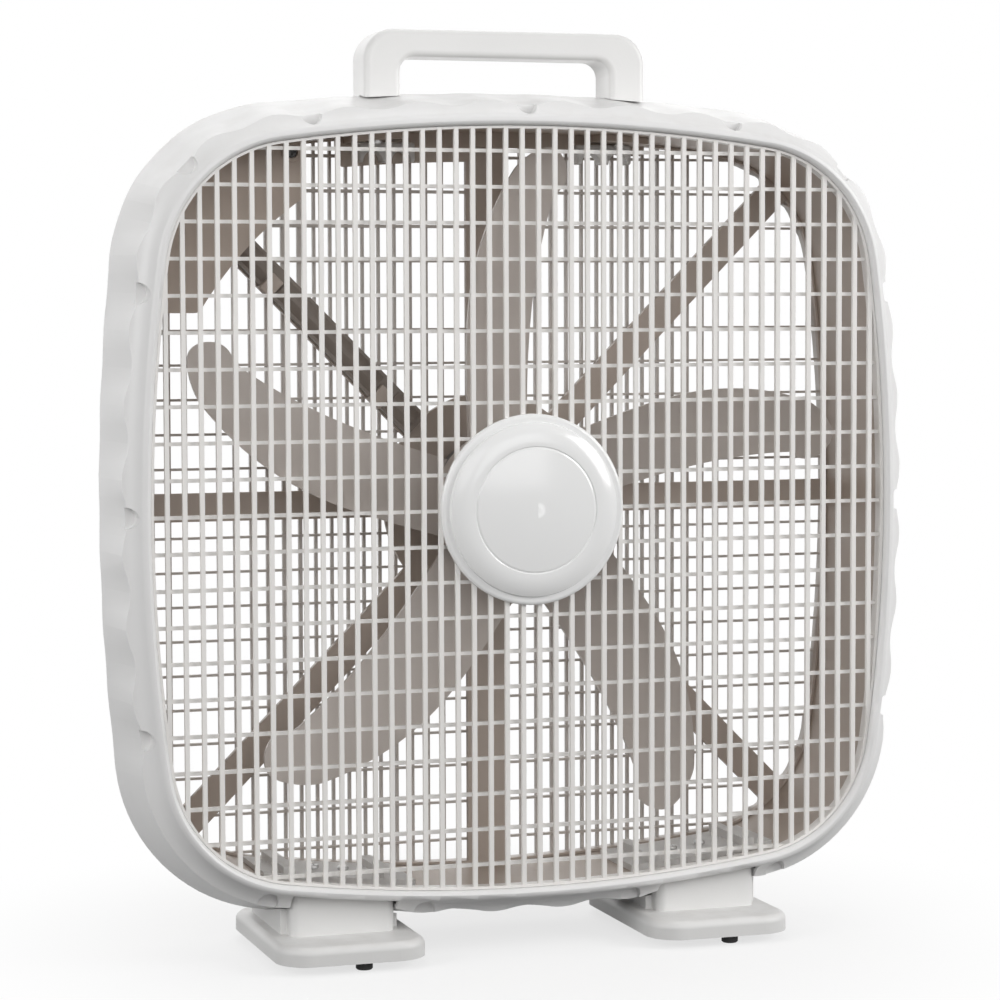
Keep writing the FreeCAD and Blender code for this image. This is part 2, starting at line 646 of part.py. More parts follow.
def front_shell(slots):
    """One hollow moulding: bezel lip, cove, and an outer wall whose waves run out towards its widest line."""
    block = doc.addObject("Part::Loft", "shell_block")
    block.Sections = [wavy_section("lip_outline", OPENING, "sizes.bezel_width", "sizes.wave_depth", LIP),
                      wavy_section("edge_outline", OPENING, "sizes.bezel_width", "sizes.wave_depth", EDGE),
                      wavy_section("wide_outline", WIDEST, "0", "sizes.wave_fade", "sizes.wide_place"),
                      wavy_section("rear_outline", OPENING, "sizes.rear_width", "sizes.wave_fade", FLANGE)]
    block.Solid = True
    block.Ruled = True

    spine = doc.addObject("Sketcher::SketchObject", "cove_spine")
    spine.Placement = Placement(Vector(), Rotation(Vector(1, 0, 0), 90))
    bind(spine, Placement__Base__y=LIP)
    squircle(spine, "0")
    profile = doc.addObject("Sketcher::SketchObject", "cove_profile")
    edge = "sizes.opening_half"
    front = f"{LIP} - sizes.bezel_width"
    draw(profile, (
        (edge, f"{LIP} + sizes.lip_edge", "sizes.lip_edge"),
        (f"{edge} + sizes.lip_crown", LIP, "sizes.lip_edge"),
        (f"{edge} + sizes.lip_width", f"{LIP} + sizes.lip_fall", "-sizes.cove_radius"),
        (f"{edge} + sizes.bezel_width + 2", EDGE),
        (f"{edge} + 2 * sizes.bezel_width", EDGE),
        (f"{edge} + 2 * sizes.bezel_width", front),
        (f"{edge} - sizes.lip_edge", front),
        (f"{edge} - sizes.lip_edge", f"{LIP} + sizes.lip_edge")))
    cove = doc.addObject("Part::Sweep", "cove")
    cove.Sections = [profile]
    cove.Spine = (spine, [f"Edge{number}" for number in range(1, 9)])
    cove.Solid = True

    hollow = new_body("shell_hollow")
    wide_cavity = ("sizes.wide_place", "(-sizes.wide_wall)", WIDEST)
    between_outlines(hollow, "front", (RETURN, CAVITY, OPENING), wide_cavity)
    between_outlines(hollow, "rear", wide_cavity, (FLANGE, REAR_CAVITY, OPENING))
    slab(hollow, "bezel", BEZEL_BACK, RETURN, outline_ring, "sizes.shell_wall", CAVITY)
    slab(hollow, "opening", f"{LIP} - sizes.bezel_width", RETURN, squircle, "0")
    cups = rods("notch_cups", notch_spots(), "sizes.notch_radius + sizes.shell_wall",
                f"{BEZEL_BACK} - 1", f"{NOTCH_FLOOR} + sizes.shell_wall")
    posts = rods("shell_posts", shell_screw_spots(), "sizes.shell_boss", f"{BEZEL_BACK} - 1", FLANGE)
    keep_out = boolean("Cut", "shell_space", boolean("Cut", "shell_space_cups", hollow, cups), posts)
    pilots = rods("shell_pilots", shell_screw_spots(), "sizes.screw_radius + sizes.screw_fit",
                  f"{FLANGE_BACK} - sizes.screw_length - 1", f"{FLANGE} + 1")
    notches = rods("notches", notch_spots(), "sizes.notch_radius", f"{LIP} - sizes.bezel_width", NOTCH_FLOOR)
    tools = joined("shell_tools", [keep_out, notches, slots, pilots, *foot_reliefs()])
    finish(boolean("Cut", "front_shell", boolean("Cut", "shell_coved", block, cove), tools), "front_shell")


# Grilles

def bar_layer(body, name, front, upright):
    """One layer of bars: uprights in a row across, or level bars in a row up the grille."""
    reach = f"({OUTER})"
    rear = f"({front} + sizes.bar_depth)"
    count, pitch = ("upright_bars", "upright_pitch") if upright else ("level_bars", "level_pitch")
    span = f"((sizes.{count} - 1) * sizes.{pitch})"
    half = "sizes.bar_width / 2" if upright else "sizes.level_width / 2"
    low, high = f"-{span} / 2 - {half}", f"-{span} / 2 + {half}"
    sides = (low, f"-{reach}", high, reach) if upright else (f"-{reach}", low, reach, high)
    bar = slab(body, name, front, rear, rectangle, *sides)
    row_of(body, bar, "H_Axis" if upright else "V_Axis", f"sizes.{count}", span)


def rim_band(body, front, rear):
    """The rim, left wide outside until the bars are trimmed with it."""
    inner = "(-sizes.fit_gap - sizes.grille_rim)"
    slab(body, "rim", front, rear, outline_ring, inner, "2 * sizes.bezel_width")


def trim(body, front, rear):
    """Cut away all that lies outside the opening."""
    recess(body, "trim", f"{front} - 1", f"{rear} + 1", outside_of, "(-sizes.fit_gap)")


def front_grille():
    """Upright bars in front of level bars, inside a thin rim, with a round seat for the cap."""
    body = new_body("front_grille")
    rear = f"({GRILLE} + sizes.rim_depth)"
    rim_band(body, GRILLE, rear)
    bar_layer(body, "uprights", GRILLE, True)
    bar_layer(body, "levels", f"({GRILLE} + sizes.bar_depth + sizes.layer_gap)", False)
    trim(body, GRILLE, rear)
    seat_back = f"({GRILLE} + sizes.seat_depth)"
    slab(body, "seat", GRILLE, seat_back, circle, "0", "0", "sizes.seat_radius")
    hole = recess(body, "peg_hole", f"{GRILLE} - 1", f"{seat_back} + sizes.bar_depth", circle,
                  "0", "sizes.peg_circle", "sizes.peg_radius + sizes.fit_gap")
    ring_of(body, hole, 3)
    finish(body, "front_grille")


def hub_cap():
    """Domed cap on the middle of the grille: flange, shoulder, ring line and a flatter crown."""
    body = new_body("hub_cap")
    flange = f"({GRILLE} - sizes.cap_flange)"
    ring = f"({GRILLE} - sizes.cap_ring_rise)"
    inside = f"({GRILLE} - sizes.cap_ring_rise + sizes.cap_wall)"
    drop = "(sizes.cap_rise - sizes.cap_ring_rise - 0.1)"
    crown = f"(((sizes.cap_ring - 2)^2 + {drop}^2) / (2 * {drop}))"
    turned(body, "dome", (
        (GRILLE, "sizes.cap_radius"),
        (f"{flange} + 1.5", "sizes.cap_radius", "3"),
        (flange, "sizes.cap_radius - 3"),
        (flange, "sizes.cap_shoulder + 0.6"),
        (f"{flange} - sizes.cap_step", "sizes.cap_shoulder", "24"),
        (ring, "sizes.cap_ring"),
        (f"{ring} + 0.5", "sizes.cap_ring - 0.8"),
        (f"{ring} - 0.1", "sizes.cap_ring - 2", crown),
        (f"{GRILLE} - sizes.cap_rise", "0"),
        (f"{GRILLE} - sizes.cap_rise + sizes.cap_wall", "0"),
        (f"{inside} + 0.4", "sizes.cap_ring - sizes.cap_wall"),
        (f"{flange} + sizes.cap_wall", "sizes.cap_shoulder - 2 * sizes.cap_wall"),
        (GRILLE, "sizes.cap_shoulder - 2 * sizes.cap_wall")))
    peg = slab(body, "peg", f"({ring} + sizes.cap_wall)", f"({GRILLE} + sizes.peg_length)", circle,
               "0", "sizes.peg_circle", "sizes.peg_radius")
    ring_of(body, peg, 3)
    finish(body, "hub_cap")


def corner_outline(sketch, margin="0"):
    """The upper left corner, outside the blades' circle, with a margin all round."""
    arc = f"(sizes.box_arc - {margin})"
    low, right = f"(sizes.box_low - {margin})", f"(sizes.box_right - {margin})"
    draw(sketch, (
        (f"-{right}", BEYOND), (f"-{BEYOND}", BEYOND), (f"-{BEYOND}", low),
        (f"-sqrt({arc}^2 - {low}^2)", low, f"-{arc}"), (f"-{right}", f"sqrt({arc}^2 - {right}^2)")))


def corner_skirt(sketch):
    """The wall along the free edges of the corner outline."""
    wall = "sizes.box_wall"
    level, rise = "sqrt(sizes.box_arc^2 - sizes.box_low^2)", "sqrt(sizes.box_arc^2 - sizes.box_right^2)"
    arc = f"(sizes.box_arc + {wall})"
    low, right = f"(sizes.box_low + {wall})", f"(sizes.box_right + {wall})"
    draw(sketch, (
        ("-sizes.box_right", BEYOND), (f"-{right}", BEYOND),
        (f"-{right}", f"sqrt({arc}^2 - {right}^2)", arc), (f"-sqrt({arc}^2 - {low}^2)", low),
        (f"-{BEYOND}", low), (f"-{BEYOND}", "sizes.box_low"),
        (f"-{level}", "sizes.box_low", "-sizes.box_arc"), ("-sizes.box_right", rise)))


def spoke(body, name, turn, width):
    """A flat spoke right across the grille, turned about the fan axis."""
    sketch = front_sketch(body, name, SPOKE_BACK)
    sketch.AttachmentOffset = Placement(sketch.AttachmentOffset.Base, Rotation(Vector(0, 0, 1), turn))
    rectangle(sketch, f"-1.15 * {OUTER}", f"-{width} / 2", f"1.15 * {OUTER}", f"{width} / 2")
    feature(body, "Pad", sketch, "sizes.spoke_depth")


def rear_grille():
    """Two layers of bars, eight spokes, the motor plate and the switch panel in one moulding."""
    body = new_body("rear_grille")
    rim_band(body, SPOKE, REAR)
    for name, turn, width in (("level", 0, "level"), ("upright", 90, "upright"),
                              ("rising", 45, "diagonal"), ("falling", 135, "diagonal")):
        spoke(body, f"spoke_{name}", turn, f"sizes.spoke_{width}")
    slab(body, "motor_plate", SPOKE, SPOKE_BACK, circle, "0", "0", "sizes.plate_radius")
    recess(body, "box_room", f"{SPOKE} - 1", PANEL, corner_outline, "sizes.fit_gap")
    slab(body, "panel", PANEL, REAR, corner_outline)
    bar_layer(body, "levels", PANEL, False)
    bar_layer(body, "uprights", f"({REAR} - sizes.bar_depth)", True)
    trim(body, SPOKE, REAR)
    pilot = recess(body, "motor_pilot", f"{SPOKE} - 1", SPOKE_BACK, circle,
                   "0", "sizes.motor_bolt_circle", "sizes.motor_bolt_radius + sizes.screw_fit")
    ring_of(body, pilot, 4)
    recess(body, "bush_hole", f"{PANEL} - 1", f"{REAR} + 1", circle,
           "-sizes.knob_side", "sizes.knob_up", "sizes.bush_radius + sizes.fit_gap")
    recess(body, "gland_hole", f"{PANEL} - 1", f"{REAR} + 1", circle,
           GLAND_SIDE, GLAND_UP, "sizes.gland_radius + sizes.fit_gap")
    finish(body, "rear_grille")


# Duct

def rear_housing(slots):
    """The taupe duct: inner wall, rear flange and the rib that centres the shell."""
    body = new_body("duct")
    slab(body, "wall", f"({RETURN} + sizes.fit_gap)", REAR, outline_ring, "0", "sizes.duct_wall")
    slab(body, "flange", FLANGE, FLANGE_BACK, outline_ring, "0", "(sizes.rear_width - sizes.flange_inset)")
    slab(body, "rib", f"({FLANGE} - sizes.rib_depth)", FLANGE, outline_ring,
         f"({REAR_CAVITY} - sizes.fit_gap - sizes.duct_wall)", f"({REAR_CAVITY} - sizes.fit_gap)")
    clear = rods("flange_holes", shell_screw_spots(), "sizes.screw_radius + sizes.fit_gap", f"{FLANGE} - 1",
                 f"{FLANGE_BACK} + 1")
    room = rods("post_room", shell_screw_spots(), "sizes.shell_boss + sizes.fit_gap",
                f"{FLANGE} - sizes.rib_depth - 1", FLANGE)
    tools = joined("duct_tools", [slots, clear, room])
    finish(boolean("Cut", "rear_housing", body, tools), "rear_housing")


# Corner box, switch and wiring

GLAND_SIDE = "(-sizes.knob_side - 32)"
GLAND_UP = "(sizes.knob_up - 40)"


def control_box():
    """Plate and skirt that close the switch's corner off from the blades."""
    body = new_body("control_box")
    slab(body, "skirt", "sizes.box_front", PANEL, corner_skirt)
    plate = slab(body, "plate", "sizes.box_front", "(sizes.box_front + sizes.box_wall)", corner_outline)
    low, right, arc = (value(f"sizes.box_{name}") for name in ("low", "right", "arc"))
    free_corners = ((-math.sqrt(arc ** 2 - low ** 2), low), (-right, math.sqrt(arc ** 2 - right ** 2)))

    def upright_corner(bound):
        spots = ((bound.XMin, bound.ZMin), (bound.XMax, bound.ZMax))
        return any(all(near(a, x) and near(b, z) for a, b in spots) for x, z in free_corners)
    fillet(body, plate, "sizes.box_round", upright_corner)
    trim(body, "sizes.box_front", PANEL)
    finish(body, "control_box")


def wire_channel():
    """U-shaped channel on the upper left spoke, open towards the spoke."""
    start = "(sizes.plate_radius + sizes.fit_gap)"
    length = f"(sizes.box_arc - sizes.fit_gap - {start} - 3)"
    front = f"({SPOKE} - sizes.channel_depth)"
    outer = box("channel_outer", start, front, "-sizes.channel_width / 2",
                length, "sizes.channel_depth", "sizes.channel_width")
    inner = box("channel_inner", f"{start} - 1", f"{front} + sizes.channel_wall",
                "-sizes.channel_width / 2 + sizes.channel_wall",
                f"{length} + 2", "sizes.channel_depth", "sizes.channel_width - 2 * sizes.channel_wall")
    channel = boolean("Cut", "wire_channel", outer, inner)
    channel.Placement = Placement(Vector(), Rotation(Vector(0, 1, 0), -135))
    finish(channel, "wire_channel")


def motor_leads():
    """Three insulated leads side by side in the channel."""
    start = "(sizes.plate_radius + sizes.fit_gap)"
    strands = []
    for number in (-1, 0, 1):
        lead = doc.addObject("Part::Cylinder", f"lead_{number + 2}")
        lead.Placement = Placement(Vector(), Rotation(Vector(0, 1, 0), 90))
        bind(lead, Radius="sizes.lead_radius", Height=f"sizes.box_arc - {start} - 4",
             Placement__Base__x=start, Placement__Base__y=f"{SPOKE} - sizes.lead_radius - sizes.fit_gap",
             Placement__Base__z=f"{number} * 3 * sizes.lead_radius")
        strands.append(lead)
    group = doc.addObject("Part::Compound", "motor_leads")
    group.Links = strands
    group.Placement = Placement(Vector(), Rotation(Vector(0, 1, 0), -135))
    finish(group, "motor_leads")


def switch_parts():
    """Rotary switch with its bush, nut, stem and knob, on the panel's corner."""
    half = "sizes.switch_width / 2"
    place = ("-sizes.knob_side", "sizes.knob_up")
    nut_back = f"({REAR} + 2.4)"
    body = new_body("switch_body")
    slab(body, "case", f"({PANEL} - sizes.switch_depth)", f"({PANEL} - sizes.fit_gap)", rectangle,
         f"-{half}", f"-{half}", half, half)
    slab(body, "bush", f"({PANEL} - 1)", f"({nut_back} + 0.6)", circle, "0", "0", "sizes.bush_radius")
    recess(body, "bore", f"{PANEL} - sizes.switch_depth / 2", f"{REAR} + 10", circle,
           "0", "0", "sizes.stem_radius + sizes.running_gap")
    finish(body, "switch_body", *place)

    nut = new_body("switch_nut")
    thread = "sizes.bush_radius + sizes.screw_fit"
    turned(nut, "ring", ((REAR, thread), (nut_back, thread),
                         (nut_back, "sizes.bush_radius + 2.6"), (f"{nut_back} - 0.8", "sizes.bush_radius + 3.2"),
                         (REAR, "sizes.bush_radius + 3.2")))
    finish(nut, "switch_nut", *place)

    top = f"({REAR} + sizes.fit_gap + sizes.knob_height)"
    stem = new_body("switch_stem")
    slab(stem, "rod", f"({PANEL} - sizes.switch_depth / 2 + sizes.fit_gap)", f"({top} - 2.5)", circle,
         "0", "0", "sizes.stem_radius")
    finish(stem, "switch_stem", *place)

    knob = new_body("knob")
    rim = f"({REAR} + sizes.fit_gap)"
    turned(knob, "skirt", (
        (rim, "sizes.bush_radius + 4.2"), (rim, "sizes.knob_radius"), (f"{rim} + 2.5", "sizes.knob_radius"),
        (f"{rim} + 3.5", "sizes.knob_radius - 1.5"), (f"{top} - 3.5", "sizes.knob_radius - 2.2", "6"),
        (f"{top} - 2", "sizes.knob_radius - 4"), (f"{top} - 2", "0"), (f"{top} - 2.5", "0"),
        (f"{top} - 2.5", "sizes.stem_radius + sizes.screw_fit"),
        (f"{nut_back} + 1.2", "sizes.stem_radius + sizes.screw_fit"),
        (f"{nut_back} + 1.2", "sizes.bush_radius + 4.2")))
    slab(knob, "grip", f"({top} - 2.3)", top, rectangle,
         "-3", "-sizes.knob_radius + 2.6", "3", "sizes.knob_radius - 2.6")
    finish(knob, "knob", *place)


def capacitor():
    """Run capacitor on the panel's inner face."""
    case = box("capacitor", "-sizes.box_right - 36", f"{PANEL} - 24", "sizes.box_right + 68", "26", "24", "18")
    finish(case, "capacitor", "-sizes.box_right - 36", "sizes.box_right + 68")


def cord_gland():
    """Gland in the panel for the supply cord."""
    body = new_body("cord_gland")
    turned(body, "bush", (
        (f"{PANEL} - 2", "sizes.gland_bore"), (f"{REAR} + 6", "sizes.gland_bore"),
        (f"{REAR} + 6", "sizes.gland_radius - 0.6"), (f"{REAR} + 3", "sizes.gland_radius + 2"),
        (REAR, "sizes.gland_radius + 2"), (REAR, "sizes.gland_radius"), (f"{PANEL} - 2", "sizes.gland_radius")))
    finish(body, "cord_gland", GLAND_SIDE, GLAND_UP)


# Motor

def bell(name, face, stack, inwards):
    """A motor bell: cup with a bearing boss inside; inwards is 1 for the front bell and -1 for the rear one."""
    body = new_body(name)
    wall = "sizes.bell_wall"
    bore = "(sizes.bearing_radius + sizes.screw_fit)"
    turned(body, "cup", (
        (face, bore), (face, "sizes.motor_radius - 4"), (f"{face} + {inwards} * 3", "sizes.motor_radius"),
        (stack, "sizes.motor_radius"), (stack, f"sizes.motor_radius - {wall}"),
        (f"{face} + {inwards} * 4", f"sizes.motor_radius - {wall}"),
        (f"{face} + {inwards} * {wall}", f"sizes.motor_radius - {wall} - 3"),
        (f"{face} + {inwards} * {wall}", f"{bore} + sizes.boss_wall"),
        (f"{face} + {inwards} * sizes.bearing_length", f"{bore} + sizes.boss_wall"),
        (f"{face} + {inwards} * sizes.bearing_length", bore)))
    hole = recess(body, "screw_hole", f"{MOTOR} - 1", f"{SPOKE} + 1", circle,
                  "0", "sizes.motor_bolt_circle", "sizes.motor_bolt_radius + sizes.fit_gap")
    ring_of(body, hole, 4)
    finish(body, name)


def tube(name, front, rear, inner, outer):
    """A plain turned ring."""
    body = new_body(name)
    turned(body, "ring", ((front, inner), (rear, inner), (rear, outer), (front, outer)))
    return body


def motor():
    """Induction motor on the plate: bells, stator, windings, bearings and long screws; rotor and shaft."""
    bell("motor_front_bell", MOTOR, STATOR, 1)
    bell("motor_rear_bell", SPOKE, STATOR_BACK, -1)
    bore = "(sizes.shaft_radius + sizes.running_gap)"
    for name, begin, end in (("bearing_front", MOTOR, f"({MOTOR} + sizes.bearing_length)"),
                             ("bearing_rear", f"({SPOKE} - sizes.bearing_length)", SPOKE)):
        finish(tube(name, begin, end, bore, "sizes.bearing_radius"), name)

    core = tube("stator_core", STATOR, STATOR_BACK, "sizes.rotor_radius + sizes.air_gap", "sizes.motor_radius")
    hole = recess(core, "screw_hole", f"{STATOR} - 1", f"{STATOR_BACK} + 1", circle,
                  "0", "sizes.motor_bolt_circle", "sizes.motor_bolt_radius + sizes.fit_gap")
    ring_of(core, hole, 4)
    finish(core, "stator_core")
    for name, start, away in (("winding_front", STATOR, -1), ("winding_rear", STATOR_BACK, 1)):
        body = new_body(name)
        end = f"({start} + {away} * sizes.winding_length)"
        near = f"({end} - {away} * 3)"
        turned(body, "bundle", (
            (start, "sizes.winding_inner"), (start, "sizes.winding_outer"), (near, "sizes.winding_outer"),
            (end, "sizes.winding_outer - 3"), (end, "sizes.winding_inner + 2"), (near, "sizes.winding_inner")))
        finish(body, name)

    screw = new_body("motor_screw")
    head = f"({MOTOR} - 2.6)"
    radius = "sizes.motor_bolt_radius"
    turned(screw, "turned", ((head, "0"), (head, f"2 * {radius} - 0.8"), (f"{head} + 1", f"2 * {radius}"),
                             (MOTOR, f"2 * {radius}"), (MOTOR, radius), (SPOKE_BACK, radius), (SPOKE_BACK, "0")))
    reach = value("sizes.motor_bolt_circle")
    quarters = [Rotation(Vector(0, 1, 0), 90 * number) for number in range(4)]
    places = [Placement(turn.multVec(Vector(0, 0, reach)), Rotation()) for turn in quarters]
    copies("motor_screws", screw, places)

    shaft = new_body("shaft")
    front = "(sizes.hub_front - sizes.nut_length - 3)"
    radius = "sizes.shaft_radius"
    turned(shaft, "rod", ((front, "0"), (front, f"{radius} - 0.8"), (f"{front} + 0.8", radius),
                          (f"{SPOKE} - 1", radius), (f"{SPOKE} - 1", "0")))
    finish(shaft, "shaft")
    bore = "sizes.shaft_radius + sizes.screw_fit"
    rotor = tube("rotor_core", STATOR, STATOR_BACK, bore, "sizes.rotor_radius")
    slab(rotor, "end_rings", f"({STATOR} - 2.5)", f"({STATOR_BACK} + 2.5)", end_rings)
    finish(rotor, "rotor_core")


def end_rings(sketch):
    """Short-circuit rings at both ends of the rotor."""
    circle(sketch, "0", "0", "sizes.rotor_radius - 1.5")
    circle(sketch, "0", "0", "sizes.rotor_radius - 7")


# Fan wheel: span shares and the blade's edges as sideways reach (mm), and its pitch in degrees
BLADE_LEADING = ((-0.25, -18), (0.27, -19.5), (0.55, -25.5), (0.83, -38.5))
BLADE_TRAILING = ((-0.25, 33), (0.27, 32), (0.53, 26.4), (0.75, 12), (0.92, -7))
BLADE_TIP_WAY = ((0.93, -47), (0.995, -38))
BLADE_PITCH = ((-0.25, 33), (0.27, 29), (0.6, 25), (1.05, 20))
BLADE_MARGIN = 8


def edge_reach(edge, share):
    """Sideways reach of a blade's edge at a share of the span, along straight runs between its points."""
    for (low, start), (high, end) in zip(edge, edge[1:]):
        if share <= high:
            break
    return start + (end - start) * (share - low) / (high - low)


def blade_section(span_place, share, pitch):
    """Closed section of a blade across its span: two shallow arcs and blunt ends."""
    low = edge_reach(BLADE_LEADING, share) - BLADE_MARGIN
    high = edge_reach(BLADE_TRAILING, share) + BLADE_MARGIN
    slope = math.tan(math.radians(pitch))
    half = value("sizes.blade_thick") / 2 / math.cos(math.radians(pitch))
    centre = (low + high) / 2
    camber = value("sizes.blade_camber")
    plane = value("sizes.blade_plane")

    def spot(side, drop):
        return Vector(span_place, plane - slope * (side - centre) + drop, side)

    def arc(drop):
        return Part.Arc(spot(low, drop), spot(centre, drop + camber), spot(high, drop)).toShape()

    front, back = arc(-half), arc(half)
    ends = [Part.LineSegment(spot(side, -half), spot(side, half)).toShape() for side in (low, high)]
    return Part.Wire(Part.__sortEdges__([front, ends[1], back, ends[0]]))


def blade():
    """One swept blade: a pitched, twisted sheet cut to a paddle outline and to the hub's wall."""
    hub, tip = value("sizes.hub_radius"), value("sizes.blade_tip")
    span = tip - hub
    sections = [blade_section(hub + span * share, share, pitch) for share, pitch in BLADE_PITCH]
    sheet_solid = Part.makeLoft(sections, True, False)

    def spots(points):
        return [Vector(hub + span * share, 0, side) for share, side in points]

    leading, trailing = Part.BSplineCurve(), Part.BSplineCurve()
    leading.interpolate(spots(BLADE_LEADING))
    trailing.interpolate(spots(BLADE_TRAILING))
    round_tip = Part.BSplineCurve()
    corner, crown = spots(BLADE_TIP_WAY)
    ends = (spots(BLADE_LEADING)[-1], spots(BLADE_TRAILING)[-1])
    round_tip.interpolate([ends[0], corner, crown, spots(((0.985, -24),))[0], ends[1]])
    root = Part.LineSegment(spots(BLADE_TRAILING)[0], spots(BLADE_LEADING)[0])
    outline = Part.Wire([curve.toShape() for curve in (leading, round_tip)]
                        + [Part.Edge(trailing).reversed(), root.toShape()])
    depth = 2 * hub
    prism = Part.Face(outline).extrude(Vector(0, 2 * depth, 0))
    prism.translate(Vector(0, value("sizes.blade_plane") - depth, 0))
    wall = value("sizes.hub_wall")
    bore = Part.makeCylinder(hub - wall / 2, 4 * depth, Vector(0, -2 * depth, 0), Vector(0, 1, 0))
    return sheet_solid.common(prism).cut(bore)


def fan_wheel():
    """Hub cup with five blades, and the nut that holds it on the shaft."""
    hub = new_body("hub")
    back = "(sizes.hub_front + sizes.hub_depth)"
    wall = "sizes.hub_wall"
    bore = "(sizes.shaft_radius + sizes.screw_fit)"
    turned(hub, "cup", (
        ("sizes.hub_front", bore), ("sizes.hub_front", "sizes.hub_radius - 4", "-4"),
        ("sizes.hub_front + 4", "sizes.hub_radius"), (back, "sizes.hub_radius"),
        (back, f"sizes.hub_radius - {wall}"), (f"sizes.hub_front + {wall}", f"sizes.hub_radius - {wall}"),
        (f"sizes.hub_front + {wall}", "sizes.hub_boss"), (f"{back} + 2", "sizes.hub_boss"),
        (f"{back} + 2", bore)))
    one = blade()
    blades = []
    for number in range(5):
        piece = doc.addObject("Part::Feature", f"blade_{number + 1}")
        turned_blade = one.copy()
        turned_blade.rotate(Vector(), Vector(0, -1, 0), value("sizes.blade_turn") + 72 * number)
        piece.Shape = turned_blade
        blades.append(piece)
    finish(joined("fan_blade", [hub] + blades), "fan_blade")

    nut = new_body("blade_nut")
    front = "(sizes.hub_front - sizes.nut_length)"
    turned(nut, "ring", ((front, bore), (front, "sizes.nut_radius - 2"), (f"{front} + 2", "sizes.nut_radius"),
                         ("sizes.hub_front", "sizes.nut_radius"), ("sizes.hub_front", bore)))
    finish(nut, "blade_nut")


# Handle, feet and their clips

def vertical_hole(body, name, across, along, radius):
    """A round hole right through along Z."""
    sketch = plane_sketch(body, name, "XY_Plane", BEYOND)
    circle(sketch, across, along, radius)
    feature(body, "Pocket", sketch, f"2 * {BEYOND}")


def clip(label, side, middle, width, front, depth, holes, along, ribs=()):
    """A plate inside the duct, bent to its wall, with ribs; side is -1 on the floor and 1 under the top."""
    body = new_body(label)
    near_wall = "(-sizes.fit_gap)"
    inside = "(-sizes.fit_gap - sizes.clip_thick)"
    left, right = f"({middle} - {width} / 2)", f"({middle} + {width} / 2)"
    bow, inner = f"(sizes.side_bow + {near_wall})", f"(sizes.side_bow + {inside})"
    slab(body, "plate", front, f"({front} + {depth})", draw, (
        (left, f"{side} * {side_height(left, near_wall)}", f"{-side} * {bow}"),
        (right, f"{side} * {side_height(right, near_wall)}"),
        (right, f"{side} * {side_height(right, inside)}", f"{side} * {inner}"),
        (left, f"{side} * {side_height(left, inside)}")))
    for number, across in enumerate(ribs):
        half, root = "sizes.clip_rib / 2", f"({side} * {side_height(across, inside)})"
        slab(body, f"rib_{number}", front, f"({front} + {depth})", rectangle, f"({across} - {half})",
             f"({root} + {side} * 1)", f"({across} + {half})", f"({root} - {side} * sizes.clip_rib_height)")
    trim(body, front, f"({front} + {depth})")
    for number, across in enumerate(holes):
        vertical_hole(body, f"hole_{number}", across, along, "sizes.screw_radius + sizes.fit_gap")
    finish(body, label)


def handle():
    """Carry handle: a round-cornered bow on two legs, with necks that reach into the duct."""
    body = new_body("handle")
    rear = "(sizes.handle_front + sizes.handle_depth)"
    outside, inside = "(sizes.handle_width / 2)", "(sizes.handle_width / 2 - sizes.handle_leg)"
    grip = f"({HANDLE_TOP} - sizes.handle_bar)"
    big, small = "sizes.handle_round", "(sizes.handle_round / 2)"
    bow = "(sizes.side_bow + sizes.rear_width)"
    low_outside, low_inside = (side_height(across, "sizes.rear_width") for across in (outside, inside))
    bar = slab(body, "bow", "sizes.handle_front", rear, draw, (
        (outside, low_outside), (outside, f"{HANDLE_TOP} - {big}", big),
        (f"{outside} - {big}", HANDLE_TOP), (f"-{outside} + {big}", HANDLE_TOP, big),
        (f"-{outside}", f"{HANDLE_TOP} - {big}"), (f"-{outside}", low_outside, f"-{bow}"),
        (f"-{inside}", low_inside), (f"-{inside}", f"{grip} - {small}", f"-{small}"),
        (f"-{inside} + {small}", grip), (f"{inside} - {small}", grip, f"-{small}"),
        (inside, f"{grip} - {small}"), (inside, low_inside, f"-{bow}")))
    front_face, back_face = value("sizes.handle_front"), value(rear)
    lowest = value(low_outside) + 1

    def around(bound):
        flat = near(bound.YMin, bound.YMax)
        on_face = near(bound.YMin, front_face) or near(bound.YMin, back_face)
        return flat and on_face and bound.ZMax > lowest + 5
    fillet(body, bar, "sizes.handle_edge", around)
    seat_on_shell(body)
    for side in (-1, 1):
        middle = handle_middle(side)
        left, right = f"({middle} - sizes.handle_neck / 2)", f"({middle} + sizes.handle_neck / 2)"
        slab(body, f"neck_{side + 1}", f"({HANDLE_CENTRE} - {HANDLE_NECK_DEPTH} / 2)",
             f"({HANDLE_CENTRE} + {HANDLE_NECK_DEPTH} / 2)", draw, (
                 (left, side_height(left, "0"), "-sizes.side_bow"), (right, side_height(right, "0")),
                 (right, f"{grip} - {big}"), (left, f"{grip} - {big}")))
    for side in (-1, 1):
        sketch = plane_sketch(body, f"pilot_{side + 1}", "XY_Plane", f"{OUTER_TOP} + sizes.screw_length")
        circle(sketch, handle_middle(side), HANDLE_CENTRE, "sizes.screw_radius + sizes.screw_fit")
        feature(body, "Pocket", sketch, BEYOND)
    finish(body, "handle")
    for side, name in ((-1, "left"), (1, "right")):
        clip(f"handle_clip_{name}", 1, handle_middle(side), "sizes.handle_clip", "sizes.handle_front",
             "sizes.handle_depth", [handle_middle(side)], HANDLE_CENTRE)


FOOT_SCREW_STEP = "(sizes.foot_neck / 4)"


